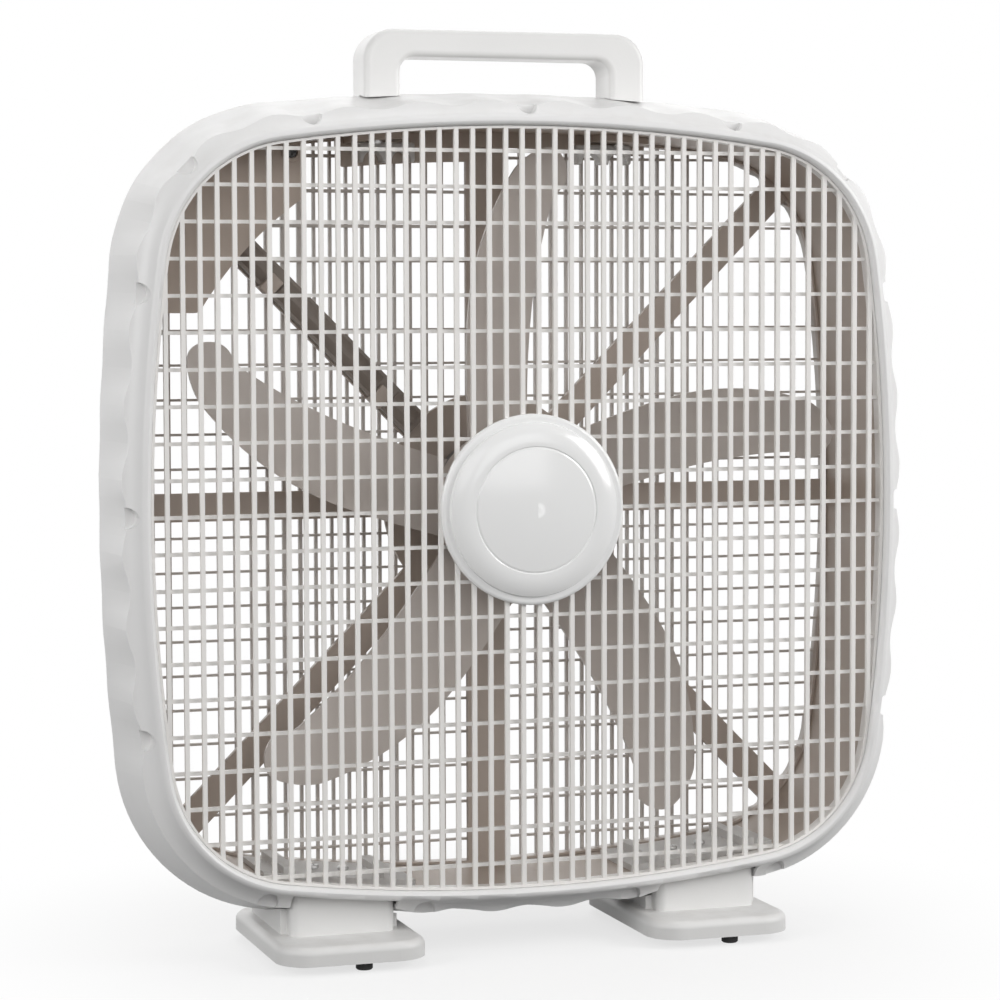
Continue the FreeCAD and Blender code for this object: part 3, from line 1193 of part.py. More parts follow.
def foot(label, side):
    """Foot: a round-cornered plate, a block that carries the housing and a neck that reaches into the duct."""
    body = new_body(label)
    middle = foot_middle(side)
    left, right = f"({middle} - sizes.foot_width / 2)", f"({middle} + sizes.foot_width / 2)"
    front, rear, bend = "(-sizes.foot_length / 2)", "(sizes.foot_length / 2)", "sizes.foot_round"
    sketch = plane_sketch(body, "plate", "XY_Plane", f"{FLOOR} + sizes.pad_height")
    draw(sketch, (
        (f"{left} + {bend}", front), (f"{right} - {bend}", front, bend), (right, f"{front} + {bend}"),
        (right, f"{rear} - {bend}", bend), (f"{right} - {bend}", rear), (f"{left} + {bend}", rear, bend),
        (left, f"{rear} - {bend}"), (left, f"{front} + {bend}", bend)))
    plate = feature(body, "Pad", sketch, "sizes.foot_thick")
    top = value(PLATE_TOP)
    fillet(body, plate, "sizes.foot_edge", lambda bound: near(bound.ZMin, top) and near(bound.ZMax, top))

    low = f"({PLATE_TOP} - 1)"
    slab(body, "body", NOSE_BACK, "(sizes.block_front + sizes.block_length)", block_outline, middle,
         "(sizes.block_width + 2 * sizes.block_step)", low, "(sizes.rear_width + sizes.fit_gap)")
    seat_on_shell(body)
    nose = slab(body, "nose", "sizes.block_front", NOSE_BACK, block_outline, middle, "sizes.block_width", low,
                "(sizes.lip_width + sizes.fit_gap)")
    nose_front, nose_low = value("sizes.block_front"), value(low)

    def upright_front(bound):
        return near(bound.YMax, nose_front) and near(bound.XMin, bound.XMax) and bound.ZMin > nose_low
    fillet(body, nose, "sizes.block_round", upright_front)
    slab(body, "neck", NECK_FRONT, f"(-{NECK_FRONT})", block_outline, middle, "sizes.foot_neck", low, "0")
    for number in (-1, 1):
        vertical = plane_sketch(body, f"pilot_{number + 1}", "XY_Plane", "0")
        across = f"{middle} + {number} * {FOOT_SCREW_STEP}"
        circle(vertical, across, "0", "sizes.screw_radius + sizes.screw_fit")
        feature(body, "Pocket", vertical, f"{OUTER} + 2")
    finish(body, label)
    holes = [f"{middle} + {number} * {FOOT_SCREW_STEP}" for number in (-1, 1)]
    clip(f"foot_clip_{label.split('_')[1]}", -1, middle, "sizes.foot_clip", "(-sizes.foot_clip_length / 2)",
         "sizes.foot_clip_length", holes, "0",
         [f"({middle} + {number} * sizes.clip_rib_spacing / 2)" for number in (-1, 1)])


def fixings():
    """Screws of the shell, the handle clips and the foot clips, and the rubber pads."""
    screw = new_body("screw")
    head, radius, length = "sizes.screw_head", "sizes.screw_radius", "sizes.screw_length"
    tall = "sizes.screw_head_length"
    turned(screw, "turned", ((tall, "0"), (tall, f"{head} - 1"), (f"{tall} - 1", head), ("0", head), ("0", radius),
                             (f"-{length} + 2", radius), (f"-{length}", "0.4"), (f"-{length}", "0")))
    rear = value(FLANGE_BACK)
    seats = [spot + Vector(0, rear, 0) for spot in shell_screw_spots()]
    copies("shell_screws", screw, [Placement(seat, Rotation()) for seat in seats])

    inside = "(-sizes.fit_gap - sizes.clip_thick)"
    spots = []
    for side in (-1, 1):
        for number in (-1, 1):
            across = value(f"{foot_middle(side)} + {number} * {FOOT_SCREW_STEP}")
            outer_side = f"({abs(across)} + sizes.screw_head)"
            spots.append(Vector(across, 0, -value(side_height(outer_side, inside))))
    copies("foot_screws", screw, [Placement(spot, Rotation(Vector(1, 0, 0), 90)) for spot in spots])
    spots = []
    for side in (-1, 1):
        outer_side = f"({abs(value(handle_middle(side)))} + sizes.screw_head)"
        lift = value(side_height(outer_side, inside))
        spots.append(Vector(value(handle_middle(side)), value(HANDLE_CENTRE), lift))
    copies("handle_screws", screw, [Placement(spot, Rotation(Vector(1, 0, 0), -90)) for spot in spots])

    pad = new_body("pad")
    tall, radius = "sizes.pad_height", "sizes.pad_radius"
    turned(pad, "turned", (("0", "0"), ("0", f"{radius} - 0.8"), ("0.8", radius), (tall, radius), (tall, "0")))
    corners = [(side, reach) for side in (-1, 1) for reach in (-1, 1)]
    base = value(FLOOR)
    places = [Placement(Vector(value(f"{foot_middle(side)} + sizes.pad_side"), reach * value("sizes.pad_reach"), base),
                        Rotation(Vector(1, 0, 0), 90)) for side, reach in corners]
    copies("foot_pads", pad, places)


slots = neck_slots()
front_shell(slots)
front_grille()
hub_cap()
rear_housing(slots)
rear_grille()
control_box()
wire_channel()
motor_leads()
switch_parts()
capacitor()
cord_gland()
motor()
fan_wheel()
handle()
foot("foot_left", -1)
foot("foot_right", 1)
fixings()
doc.recompute()

for item in doc.Objects:
    if "Invalid" in item.State or "Error" in item.State:
        raise RuntimeError(f"{item.Name} failed: {item.State}")
os.makedirs("parts", exist_ok=True)
for node in nodes:
    if node.Shape.isNull() or not node.Shape.isValid() or not node.Shape.Solids:
        raise RuntimeError(f"{node.Label} has no valid solid")
    node.Shape.exportStep(f"parts/{node.Label}.step")
    print(f"{node.Label}: {len(node.Shape.Solids)} solid(s), {node.Shape.Volume / 1000:.1f} cm3")
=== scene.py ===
"""Looks of a white square box fan on two feet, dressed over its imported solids."""

import logging
import math
from dataclasses import dataclass
from enum import Enum
from typing import Iterable, Mapping, Optional, Sequence, Union

import bmesh
import bpy
from mathutils import Euler, Matrix, Vector


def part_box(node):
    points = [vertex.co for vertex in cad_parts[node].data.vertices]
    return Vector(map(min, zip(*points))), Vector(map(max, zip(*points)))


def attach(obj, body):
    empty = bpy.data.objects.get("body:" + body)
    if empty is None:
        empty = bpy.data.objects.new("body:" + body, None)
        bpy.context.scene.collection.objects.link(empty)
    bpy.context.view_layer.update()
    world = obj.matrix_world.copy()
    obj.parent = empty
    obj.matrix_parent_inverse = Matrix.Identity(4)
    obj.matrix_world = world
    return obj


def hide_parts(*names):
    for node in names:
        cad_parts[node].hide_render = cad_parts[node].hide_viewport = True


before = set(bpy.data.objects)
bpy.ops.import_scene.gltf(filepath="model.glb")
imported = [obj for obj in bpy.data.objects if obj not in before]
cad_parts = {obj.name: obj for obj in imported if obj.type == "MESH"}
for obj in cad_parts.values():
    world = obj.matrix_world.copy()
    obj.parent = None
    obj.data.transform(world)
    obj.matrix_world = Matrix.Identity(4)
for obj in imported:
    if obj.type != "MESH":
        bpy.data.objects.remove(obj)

LOG = logging.getLogger("box_fan")
MM = 0.001
AXIS_HEIGHT = 0.286
MERGE = 1e-6
SHARP_ANGLE = math.radians(35)
WHITE = (1.0, 1.0, 1.0, 1.0)

Colour = tuple[float, float, float]
Point = tuple[float, float, float]
Span = tuple[float, float]
Box = tuple[Vector, Vector]
Entry = Union["Shade", float, Sequence[float]]


class Body(Enum):
    """The bodies that new pieces ride on."""

    HOUSING = "housing"
    SELECTOR = "selector"


class Shade:
    """An output of a node that takes part in Python expressions."""

    def __init__(self, sheet: "NodeSheet", socket: Optional[bpy.types.NodeSocket]) -> None:
        """Keep the socket and the sheet of nodes that it stands on."""
        self.sheet = sheet
        self.socket = socket

    def _math(self, operation: str, first: Entry, second: Entry) -> "Shade":
        """Add a Math node for two values."""
        return self.sheet.node("ShaderNodeMath", {"operation": operation}, {0: first, 1: second})

    def __add__(self, other: Entry) -> "Shade":
        """Sum of two values."""
        return self._math("ADD", self, other)

    __radd__ = __add__

    def __sub__(self, other: Entry) -> "Shade":
        """Difference of two values."""
        return self._math("SUBTRACT", self, other)

    def __rsub__(self, other: Entry) -> "Shade":
        """Difference with this value taken off a number."""
        return self._math("SUBTRACT", other, self)

    def __mul__(self, other: Entry) -> "Shade":
        """Product of two values."""
        return self._math("MULTIPLY", self, other)

    __rmul__ = __mul__

    def at_least(self, other: Entry) -> "Shade":
        """The larger of two values."""
        return self._math("MAXIMUM", self, other)


@dataclass(frozen=True)
class Pattern:
    """A noise over a surface.

    Attributes:
        detail: finer layers on top.
        scale: spots to the metre.
        stretch: spots to the metre along each axis, for streaks.
        span: values of the noise at which a patch starts and is full, for patches.
    """

    detail: float
    scale: float = 1.0
    stretch: Optional[Point] = None
    span: Optional[Span] = None


class NodeSheet:
    """The nodes of one material or of the world.

    A Mix node has several sockets of one name, so those for colours go by number.

    Attributes:
        UPWARD: upward part of the normal at which a face starts to be level and is level.
    """

    UPWARD: Span = (0.25, 0.95)
    MIX_SHARE, MIX_FIRST, MIX_SECOND, MIX_RESULT = 0, 6, 7, 2

    def __init__(self, owner: Union[bpy.types.Material, bpy.types.World]) -> None:
        """Empty the nodes of the material or world that they belong to."""
        owner.use_nodes = True
        self.tree = owner.node_tree
        self.tree.nodes.clear()

    def node(self, kind: str, settings: Mapping[str, object],
             entries: Mapping[Union[str, int], Entry], output: Union[str, int] = 0) -> Shade:
        """Add a node.

        Args:
            kind: Blender's name for the type of node.
            settings: attributes, set first.
            entries: values or links of the sockets, by name or number.
            output: the output that is handed back.

        Returns:
            The chosen output, empty for a node that ends the sheet.
        """
        made = self.tree.nodes.new(kind)
        for name, setting in settings.items():
            setattr(made, name, setting)
        for key, entry in entries.items():
            if isinstance(entry, Shade):
                self.tree.links.new(entry.socket, made.inputs[key])
            else:
                made.inputs[key].default_value = entry
        return Shade(self, made.outputs[output] if made.outputs else None)

    def place(self) -> Shade:
        """Object coordinates, which are metres in the fan's own frame."""
        return self.node("ShaderNodeTexCoord", {}, {}, "Object")

    def along(self, vector: Shade, axis: str) -> Shade:
        """One part of a vector."""
        return self.node("ShaderNodeSeparateXYZ", {}, {"Vector": vector}, axis)

    def ramp(self, amount: Shade, span: Span) -> Shade:
        """A value that rises smoothly from 0 at the span's start to 1 at its end."""
        low, high = span
        return self.node("ShaderNodeMapRange", {"interpolation_type": "SMOOTHSTEP"},
                         {"Value": amount, "From Min": low, "From Max": high})

    def pattern(self, pattern: Pattern) -> Shade:
        """Lay a pattern over the surface.

        Args:
            pattern: the noise, and how it is stretched and cut into patches.

        Returns:
            Its value from 0 to 1.
        """
        where = self.place()
        if pattern.stretch:
            where = self.node("ShaderNodeMapping", {},
                              {"Vector": where, "Scale": pattern.stretch})
        noise = self.node("ShaderNodeTexNoise", {}, {
            "Vector": where, "Scale": pattern.scale, "Detail": pattern.detail}, "Fac")
        return self.ramp(noise, pattern.span) if pattern.span else noise

    def mix(self, share: Entry, first: Entry, second: Entry) -> Shade:
        """Blend two colours by a share of the second."""
        entries = {self.MIX_SHARE: share, self.MIX_FIRST: _opaque(first),
                   self.MIX_SECOND: _opaque(second)}
        return self.node("ShaderNodeMix", {"data_type": "RGBA"}, entries, self.MIX_RESULT)

    def bump(self, height: Shade, strength: float, distance: float) -> Shade:
        """A normal tilted by a height pattern."""
        return self.node("ShaderNodeBump", {}, {
            "Height": height, "Strength": strength, "Distance": distance})

    def facing_up(self) -> Shade:
        """1 on level faces, falling to 0 on upright ones and below."""
        normal = self.node("ShaderNodeNewGeometry", {}, {}, "Normal")
        return self.ramp(self.along(normal, "Z"), self.UPWARD)

    def seen(self) -> Shade:
        """1 for what the eye sees, straight or by mirror or glass."""
        seen = self.node("ShaderNodeLightPath", {}, {}, "Is Camera Ray")
        for kind in ("Is Glossy Ray", "Is Transmission Ray"):
            seen = seen.at_least(self.node("ShaderNodeLightPath", {}, {}, kind))
        return seen


def _opaque(entry: Entry) -> Entry:
    """Give a plain colour its alpha."""
    return entry if isinstance(entry, Shade) else (*entry, 1.0)


BRIGHTEST = 0.93
DARKER_PATCH = 0.95


@dataclass(frozen=True)
class Finish:
    """What every finish has.

    Attributes:
        name: the material's name.
        colour: colour in linear light.
    """

    name: str
    colour: Colour

    def toned(self, factor: float) -> Colour:
        """The colour made darker or lighter by a factor."""
        return tuple(min(part * factor, BRIGHTEST) for part in self.colour)

    def shader(self, sheet: NodeSheet) -> Shade:
        """Lay out the finish on a sheet and hand back its shader."""
        raise NotImplementedError

    def material(self) -> bpy.types.Material:
        """Make the finish's material."""
        made = bpy.data.materials.new(self.name)
        sheet = NodeSheet(made)
        sheet.node("ShaderNodeOutputMaterial", {}, {"Surface": self.shader(sheet)})
        return made


CLOUD = Pattern(detail=3.0, scale=9.0)
SCUFF = Pattern(detail=4.0, stretch=(240.0, 60.0, 35.0), span=(0.62, 0.78))
DUST_PATCH = Pattern(detail=4.0, scale=55.0, span=(0.35, 0.7))
DUST_TONE = (0.46, 0.43, 0.39)
CLOUD_IN_TONE, STREAK_IN_TONE = 0.6, 0.4
GRAIN_IN_ROUGH, SCUFF_IN_ROUGH, DUST_IN_ROUGH = 0.10, 0.16, 0.5
STREAK_IN_RELIEF = 0.3
# Painted light: depths past which the bars behind the spokes get a paler tone, and that tone.
BARS_BEHIND = (49.3 * MM, 49.5 * MM)
PAINTED_LIGHT_TONE = (0.74, 0.73, 0.715)


@dataclass(frozen=True)
class MouldedPlastic(Finish):
    """Injection-moulded plastic with a fine spark-eroded grain.

    Attributes:
        roughness: middle roughness.
        grain: depth of the grain, as a share of a tenth of a millimetre.
        grain_scale: grains to the metre.
        mottle: how far the colour wanders.
        dust: share of dust on faces that look up.
        flow: streaks of the melt to the metre, across and along the depth.
        flow_up: streaks to the metre upwards.
        painted_light: share of painted light, a paler tone painted on the bars behind the spokes.
    """

    roughness: float = 0.42
    grain: float = 0.35
    grain_scale: float = 900.0
    mottle: float = 0.05
    dust: float = 0.10
    flow: float = 14.0
    flow_up: float = 2.5
    painted_light: float = 0.0

    def shader(self, sheet: NodeSheet) -> Shade:
        """Lay out grain, melt streaks, scuffs, dust and painted light behind the spokes; hand back
        the shader.
        """
        grain = sheet.pattern(Pattern(detail=3.0, scale=self.grain_scale))
        streak = sheet.pattern(Pattern(detail=2.0, stretch=(self.flow, self.flow, self.flow_up)))
        dust = sheet.facing_up() * sheet.pattern(DUST_PATCH) * self.dust
        wander = CLOUD_IN_TONE * sheet.pattern(CLOUD) + STREAK_IN_TONE * streak
        tone = sheet.mix(wander, self.toned(1.0 - 2.0 * self.mottle), self.toned(1.0 + self.mottle))
        # Painted light: a paler tone painted on the bars behind the spokes.
        if self.painted_light:
            behind = sheet.ramp(sheet.along(sheet.place(), "Y"), BARS_BEHIND)
            tone = sheet.mix(self.painted_light * behind, tone, PAINTED_LIGHT_TONE)
        rough = (self.roughness + GRAIN_IN_ROUGH * (grain - 0.5)
                 + SCUFF_IN_ROUGH * sheet.pattern(SCUFF) + DUST_IN_ROUGH * dust)
        relief = grain + STREAK_IN_RELIEF * streak
        return sheet.node("ShaderNodeBsdfPrincipled", {}, {
            "Base Color": sheet.mix(dust, tone, DUST_TONE), "Roughness": rough, "IOR": 1.49,
            "Normal": sheet.bump(relief, strength=self.grain, distance=0.1 * MM)})


RIPPLE = Pattern(detail=1.0, scale=60.0)
HAIR = Pattern(detail=5.0, stretch=(900.0, 200.0, 60.0), span=(0.60, 0.72))
TINT = Pattern(detail=3.0, scale=14.0)


@dataclass(frozen=True)
class GlossPlastic(Finish):
    """Polished moulded plastic, with the slow ripple of a shrunk face and hair scratches.

    Attributes:
        roughness: roughness between the scratches.
        scratch: roughness that a scratch adds.
    """

    roughness: float = 0.22
    scratch: float = 0.05

    def shader(self, sheet: NodeSheet) -> Shade:
        """Lay out ripple and scratches and hand back the shader."""
        tone = sheet.mix(sheet.pattern(TINT), self.toned(DARKER_PATCH), self.colour)
        return sheet.node("ShaderNodeBsdfPrincipled", {}, {
            "Base Color": tone, "IOR": 1.5,
            "Roughness": self.roughness + self.scratch * sheet.pattern(HAIR),
            "Normal": sheet.bump(sheet.pattern(RIPPLE), strength=0.2, distance=0.2 * MM)})


MILK = Pattern(detail=3.0, scale=120.0, span=(0.3, 0.75))
SWIRL = Pattern(detail=2.0, scale=260.0)


@dataclass(frozen=True)
class MilkyPlastic(Finish):
    """Milky plastic that lets some light through, blurred.

    Attributes:
        clear: share of light let through.
        roughness: roughness where it is clearest.
        milk_rough: roughness that the milk adds.
    """

    clear: float = 0.35
    roughness: float = 0.52
    milk_rough: float = 0.10

    def shader(self, sheet: NodeSheet) -> Shade:
        """Lay out milk and swirls and hand back the shader."""
        milk = sheet.pattern(MILK)
        return sheet.node("ShaderNodeBsdfPrincipled", {}, {
            "Base Color": sheet.mix(milk, self.toned(DARKER_PATCH), self.colour),
            "Roughness": self.roughness + self.milk_rough * milk,
            "IOR": 1.2, "Transmission Weight": self.clear,
            "Normal": sheet.bump(sheet.pattern(SWIRL), strength=0.03, distance=0.1 * MM)})


class MetalLook(Enum):
    """How a metal surface was made."""

    PLATED = "plated"
    PRESSED = "pressed"
    STACKED = "stacked"
    WOUND = "wound"
    SINTERED = "sintered"


METAL_RELIEF = {
    MetalLook.PLATED: Pattern(detail=3.0, stretch=(300.0, 2600.0, 300.0)),
    MetalLook.PRESSED: Pattern(detail=4.0, scale=420.0),
    MetalLook.SINTERED: Pattern(detail=4.0, scale=1400.0),
}
STAIN = Pattern(detail=4.0, scale=70.0, span=(0.4, 0.75))
STAIN_IN_TONE, RELIEF_IN_TONE = 0.7, 0.2
STAIN_IN_ROUGH, RELIEF_IN_ROUGH = 0.12, 0.15


@dataclass(frozen=True)
class Metal(Finish):
    """A metal of the motor or the fasteners.

    Attributes:
        tarnish: colour that it wanders towards.
        look: how the surface was made.
        roughness: middle roughness.
        metallic: share of bare metal.
    """

    tarnish: Colour
    look: MetalLook
    roughness: float = 0.35
    metallic: float = 1.0

    def _relief(self, sheet: NodeSheet) -> Shade:
        """Height pattern of the surface."""
        if self.look is MetalLook.STACKED:
            return sheet.node("ShaderNodeTexWave", {"bands_direction": "Y"}, {
                "Vector": sheet.place(), "Scale": 320.0, "Distortion": 0.4}, "Fac")
        if self.look is MetalLook.WOUND:
            place = sheet.node("ShaderNodeVectorMath", {"operation": "SUBTRACT"},
                               {0: sheet.place(), 1: (0.0, 0.0, AXIS_HEIGHT)})
            return sheet.node("ShaderNodeTexWave", {"wave_type": "RINGS", "rings_direction": "Y"}, {
                "Vector": place, "Scale": 260.0, "Distortion": 2.5, "Detail": 2.0}, "Fac")
        return sheet.pattern(METAL_RELIEF[self.look])

    def shader(self, sheet: NodeSheet) -> Shade:
        """Lay out relief and stains and hand back the shader."""
        relief = self._relief(sheet)
        stain = sheet.pattern(STAIN)
        wander = STAIN_IN_TONE * stain + RELIEF_IN_TONE * relief
        rough = self.roughness + RELIEF_IN_ROUGH * relief + STAIN_IN_ROUGH * stain
        return sheet.node("ShaderNodeBsdfPrincipled", {}, {
            "Base Color": sheet.mix(wander, self.colour, self.tarnish),
            "Roughness": rough, "Metallic": self.metallic,
            "Normal": sheet.bump(relief, strength=0.5, distance=0.3 * MM)})


BLOOM = Pattern(detail=4.0, scale=160.0, span=(0.35, 0.75))
GRIT = Pattern(detail=2.0, scale=1500.0)


@dataclass(frozen=True)
class Rubber(Finish):
    """Matt rubber with a fine bloom.

    Attributes:
        roughness: roughness of the bare rubber.
        bloom_rough: roughness that the bloom adds.
        bloom_tone: how much paler the bloom is.
    """

    roughness: float = 0.72
    bloom_rough: float = 0.15
    bloom_tone: float = 0.035

    def shader(self, sheet: NodeSheet) -> Shade:
        """Lay out bloom and grit and hand back the shader."""
        bloom = sheet.pattern(BLOOM)
        paler = tuple(part + self.bloom_tone for part in self.colour)
        return sheet.node("ShaderNodeBsdfPrincipled", {}, {
            "Base Color": sheet.mix(bloom, self.colour, paler),
            "Roughness": self.roughness + self.bloom_rough * bloom,
            "Normal": sheet.bump(sheet.pattern(GRIT), strength=0.4, distance=0.2 * MM)})


FLECK = Pattern(detail=3.0, scale=30.0)


@dataclass(frozen=True)
class StudioFloor(Finish):
    """Pale floor that keeps the shadow near the fan and runs out into white.

    Attributes:
        paler: the colour's palest flecks.
        thrown: the colour that it throws back on to the fan.
        fade: distances from the fan's middle over which it runs out into white.
        glow: share of white next to the fan.
    """

    paler: Colour
    thrown: Colour
    fade: Span
    glow: float

    def shader(self, sheet: NodeSheet) -> Shade:
        """Lay out the pale floor and the white and hand back their mix."""
        reach = sheet.node("ShaderNodeVectorMath", {"operation": "LENGTH"},
                           {0: sheet.place()}, "Value")
        pale = sheet.mix(sheet.pattern(FLECK), self.colour, self.paler)
        matt = sheet.node("ShaderNodeBsdfPrincipled", {}, {
            "Base Color": sheet.mix(sheet.seen(), self.thrown, pale),
            "Roughness": 1.0, "Specular IOR Level": 0.0})
        white = sheet.node("ShaderNodeEmission", {}, {"Color": WHITE, "Strength": 1.0})
        share = sheet.seen() * (self.glow + (1.0 - self.glow) * sheet.ramp(reach, self.fade))
        return sheet.node("ShaderNodeMixShader", {}, {0: share, 1: matt, 2: white})


SHELL = MouldedPlastic("shell_white", (0.80, 0.795, 0.79), roughness=0.40)
GRILLE = MouldedPlastic("grille_white", (0.84, 0.82, 0.795), roughness=0.36, mottle=0.03)
CAP = GlossPlastic("cap_white", (0.87, 0.87, 0.865), roughness=0.16)
HANDLE = MouldedPlastic("handle_white", (0.79, 0.785, 0.775), roughness=0.38)
FOOT = MouldedPlastic("foot_white", (0.76, 0.755, 0.745), roughness=0.44, dust=0.16)
CLIP = MilkyPlastic("clip_milky", (0.87, 0.86, 0.845))
TAUPE = MouldedPlastic("duct_taupe", (0.50, 0.42, 0.36), roughness=0.46)
# Painted light: a paler copy of the duct's taupe for the rear grille and channel clips, plus
# painted light on the bars behind the spokes.
TAUPE_LIT = MouldedPlastic("rear_taupe_lit", (0.52, 0.445, 0.39), roughness=0.44, painted_light=0.48)
BLADE = MouldedPlastic("blade_taupe", (0.62, 0.565, 0.525), roughness=0.34, dust=0.06)
CHANNEL = MouldedPlastic("channel_grey", (0.27, 0.23, 0.20), roughness=0.5)
LEAD = MouldedPlastic("lead_black", (0.03, 0.03, 0.03), roughness=0.4, grain=0.15)
SWITCH = MouldedPlastic("switch_black", (0.05, 0.05, 0.05), roughness=0.45)
KNOB = MouldedPlastic("knob_white", (0.78, 0.77, 0.755), roughness=0.36)
MARK = MouldedPlastic("mark_grey", (0.12, 0.12, 0.125), roughness=0.5, grain=0.2)
STEEL = Metal("zinc_steel", (0.60, 0.60, 0.61), (0.46, 0.45, 0.42), MetalLook.PLATED,
              roughness=0.28)
MOTOR_STEEL = Metal("motor_steel", (0.32, 0.32, 0.33), (0.25, 0.24, 0.23), MetalLook.PRESSED,
                    roughness=0.42, metallic=0.7)
BLACK_STEEL = Metal("black_steel", (0.07, 0.07, 0.07), (0.04, 0.038, 0.036), MetalLook.PRESSED,
                    roughness=0.3, metallic=0.6)
LAMINATION = Metal("lamination", (0.42, 0.43, 0.45), (0.30, 0.28, 0.26), MetalLook.STACKED,
                   roughness=0.4)
COPPER = Metal("copper_winding", (0.62, 0.28, 0.14), (0.42, 0.16, 0.08), MetalLook.WOUND,
               roughness=0.32)
BRONZE = Metal("sintered_bronze", (0.58, 0.43, 0.24), (0.42, 0.31, 0.18), MetalLook.SINTERED,
               roughness=0.45)
PAD = Rubber("pad_rubber", (0.02, 0.02, 0.02))
FLOOR = StudioFloor("floor_white", (0.86, 0.86, 0.86), paler=(0.88, 0.88, 0.88),
                    thrown=(0.16, 0.16, 0.16), fade=(0.12, 0.42), glow=0.7)


class FinishShelf:
    """Makes each finish once and hands it to the pieces that share it."""

    def __init__(self) -> None:
        """Start with nothing made."""
        self._made: dict[str, bpy.types.Material] = {}

    def get(self, finish: Finish) -> bpy.types.Material:
        """The finish's material, made at the first call."""
        if finish.name not in self._made:
            self._made[finish.name] = finish.material()
        return self._made[finish.name]

    def dress(self, finish: Finish, *nodes: str) -> None:
        """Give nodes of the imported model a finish.

        Args:
            finish: the finish that they get in every slot.
            nodes: names of the nodes.
        """
        for node in nodes:
            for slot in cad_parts[node].material_slots:
                slot.material = self.get(finish)
            LOG.info("%s dressed in %s", node, finish.name)


def link_object(name: str, data: bpy.types.ID) -> bpy.types.Object:
    """Put a new object with this data into the scene."""
    made = bpy.data.objects.new(name, data)
    bpy.context.scene.collection.objects.link(made)
    return made


def fitted(low: Vector, high: Vector) -> Matrix:
    """The matrix that takes a cube of side 1 at the origin to a box."""
    return Matrix.Translation((high + low) / 2) @ Matrix.Diagonal((*(high - low), 1.0))


def above_axis(across: float, depth: float, rise: float) -> Vector:
    """A point by its height above the wheel's axis."""
    return Vector((across, depth, AXIS_HEIGHT + rise))


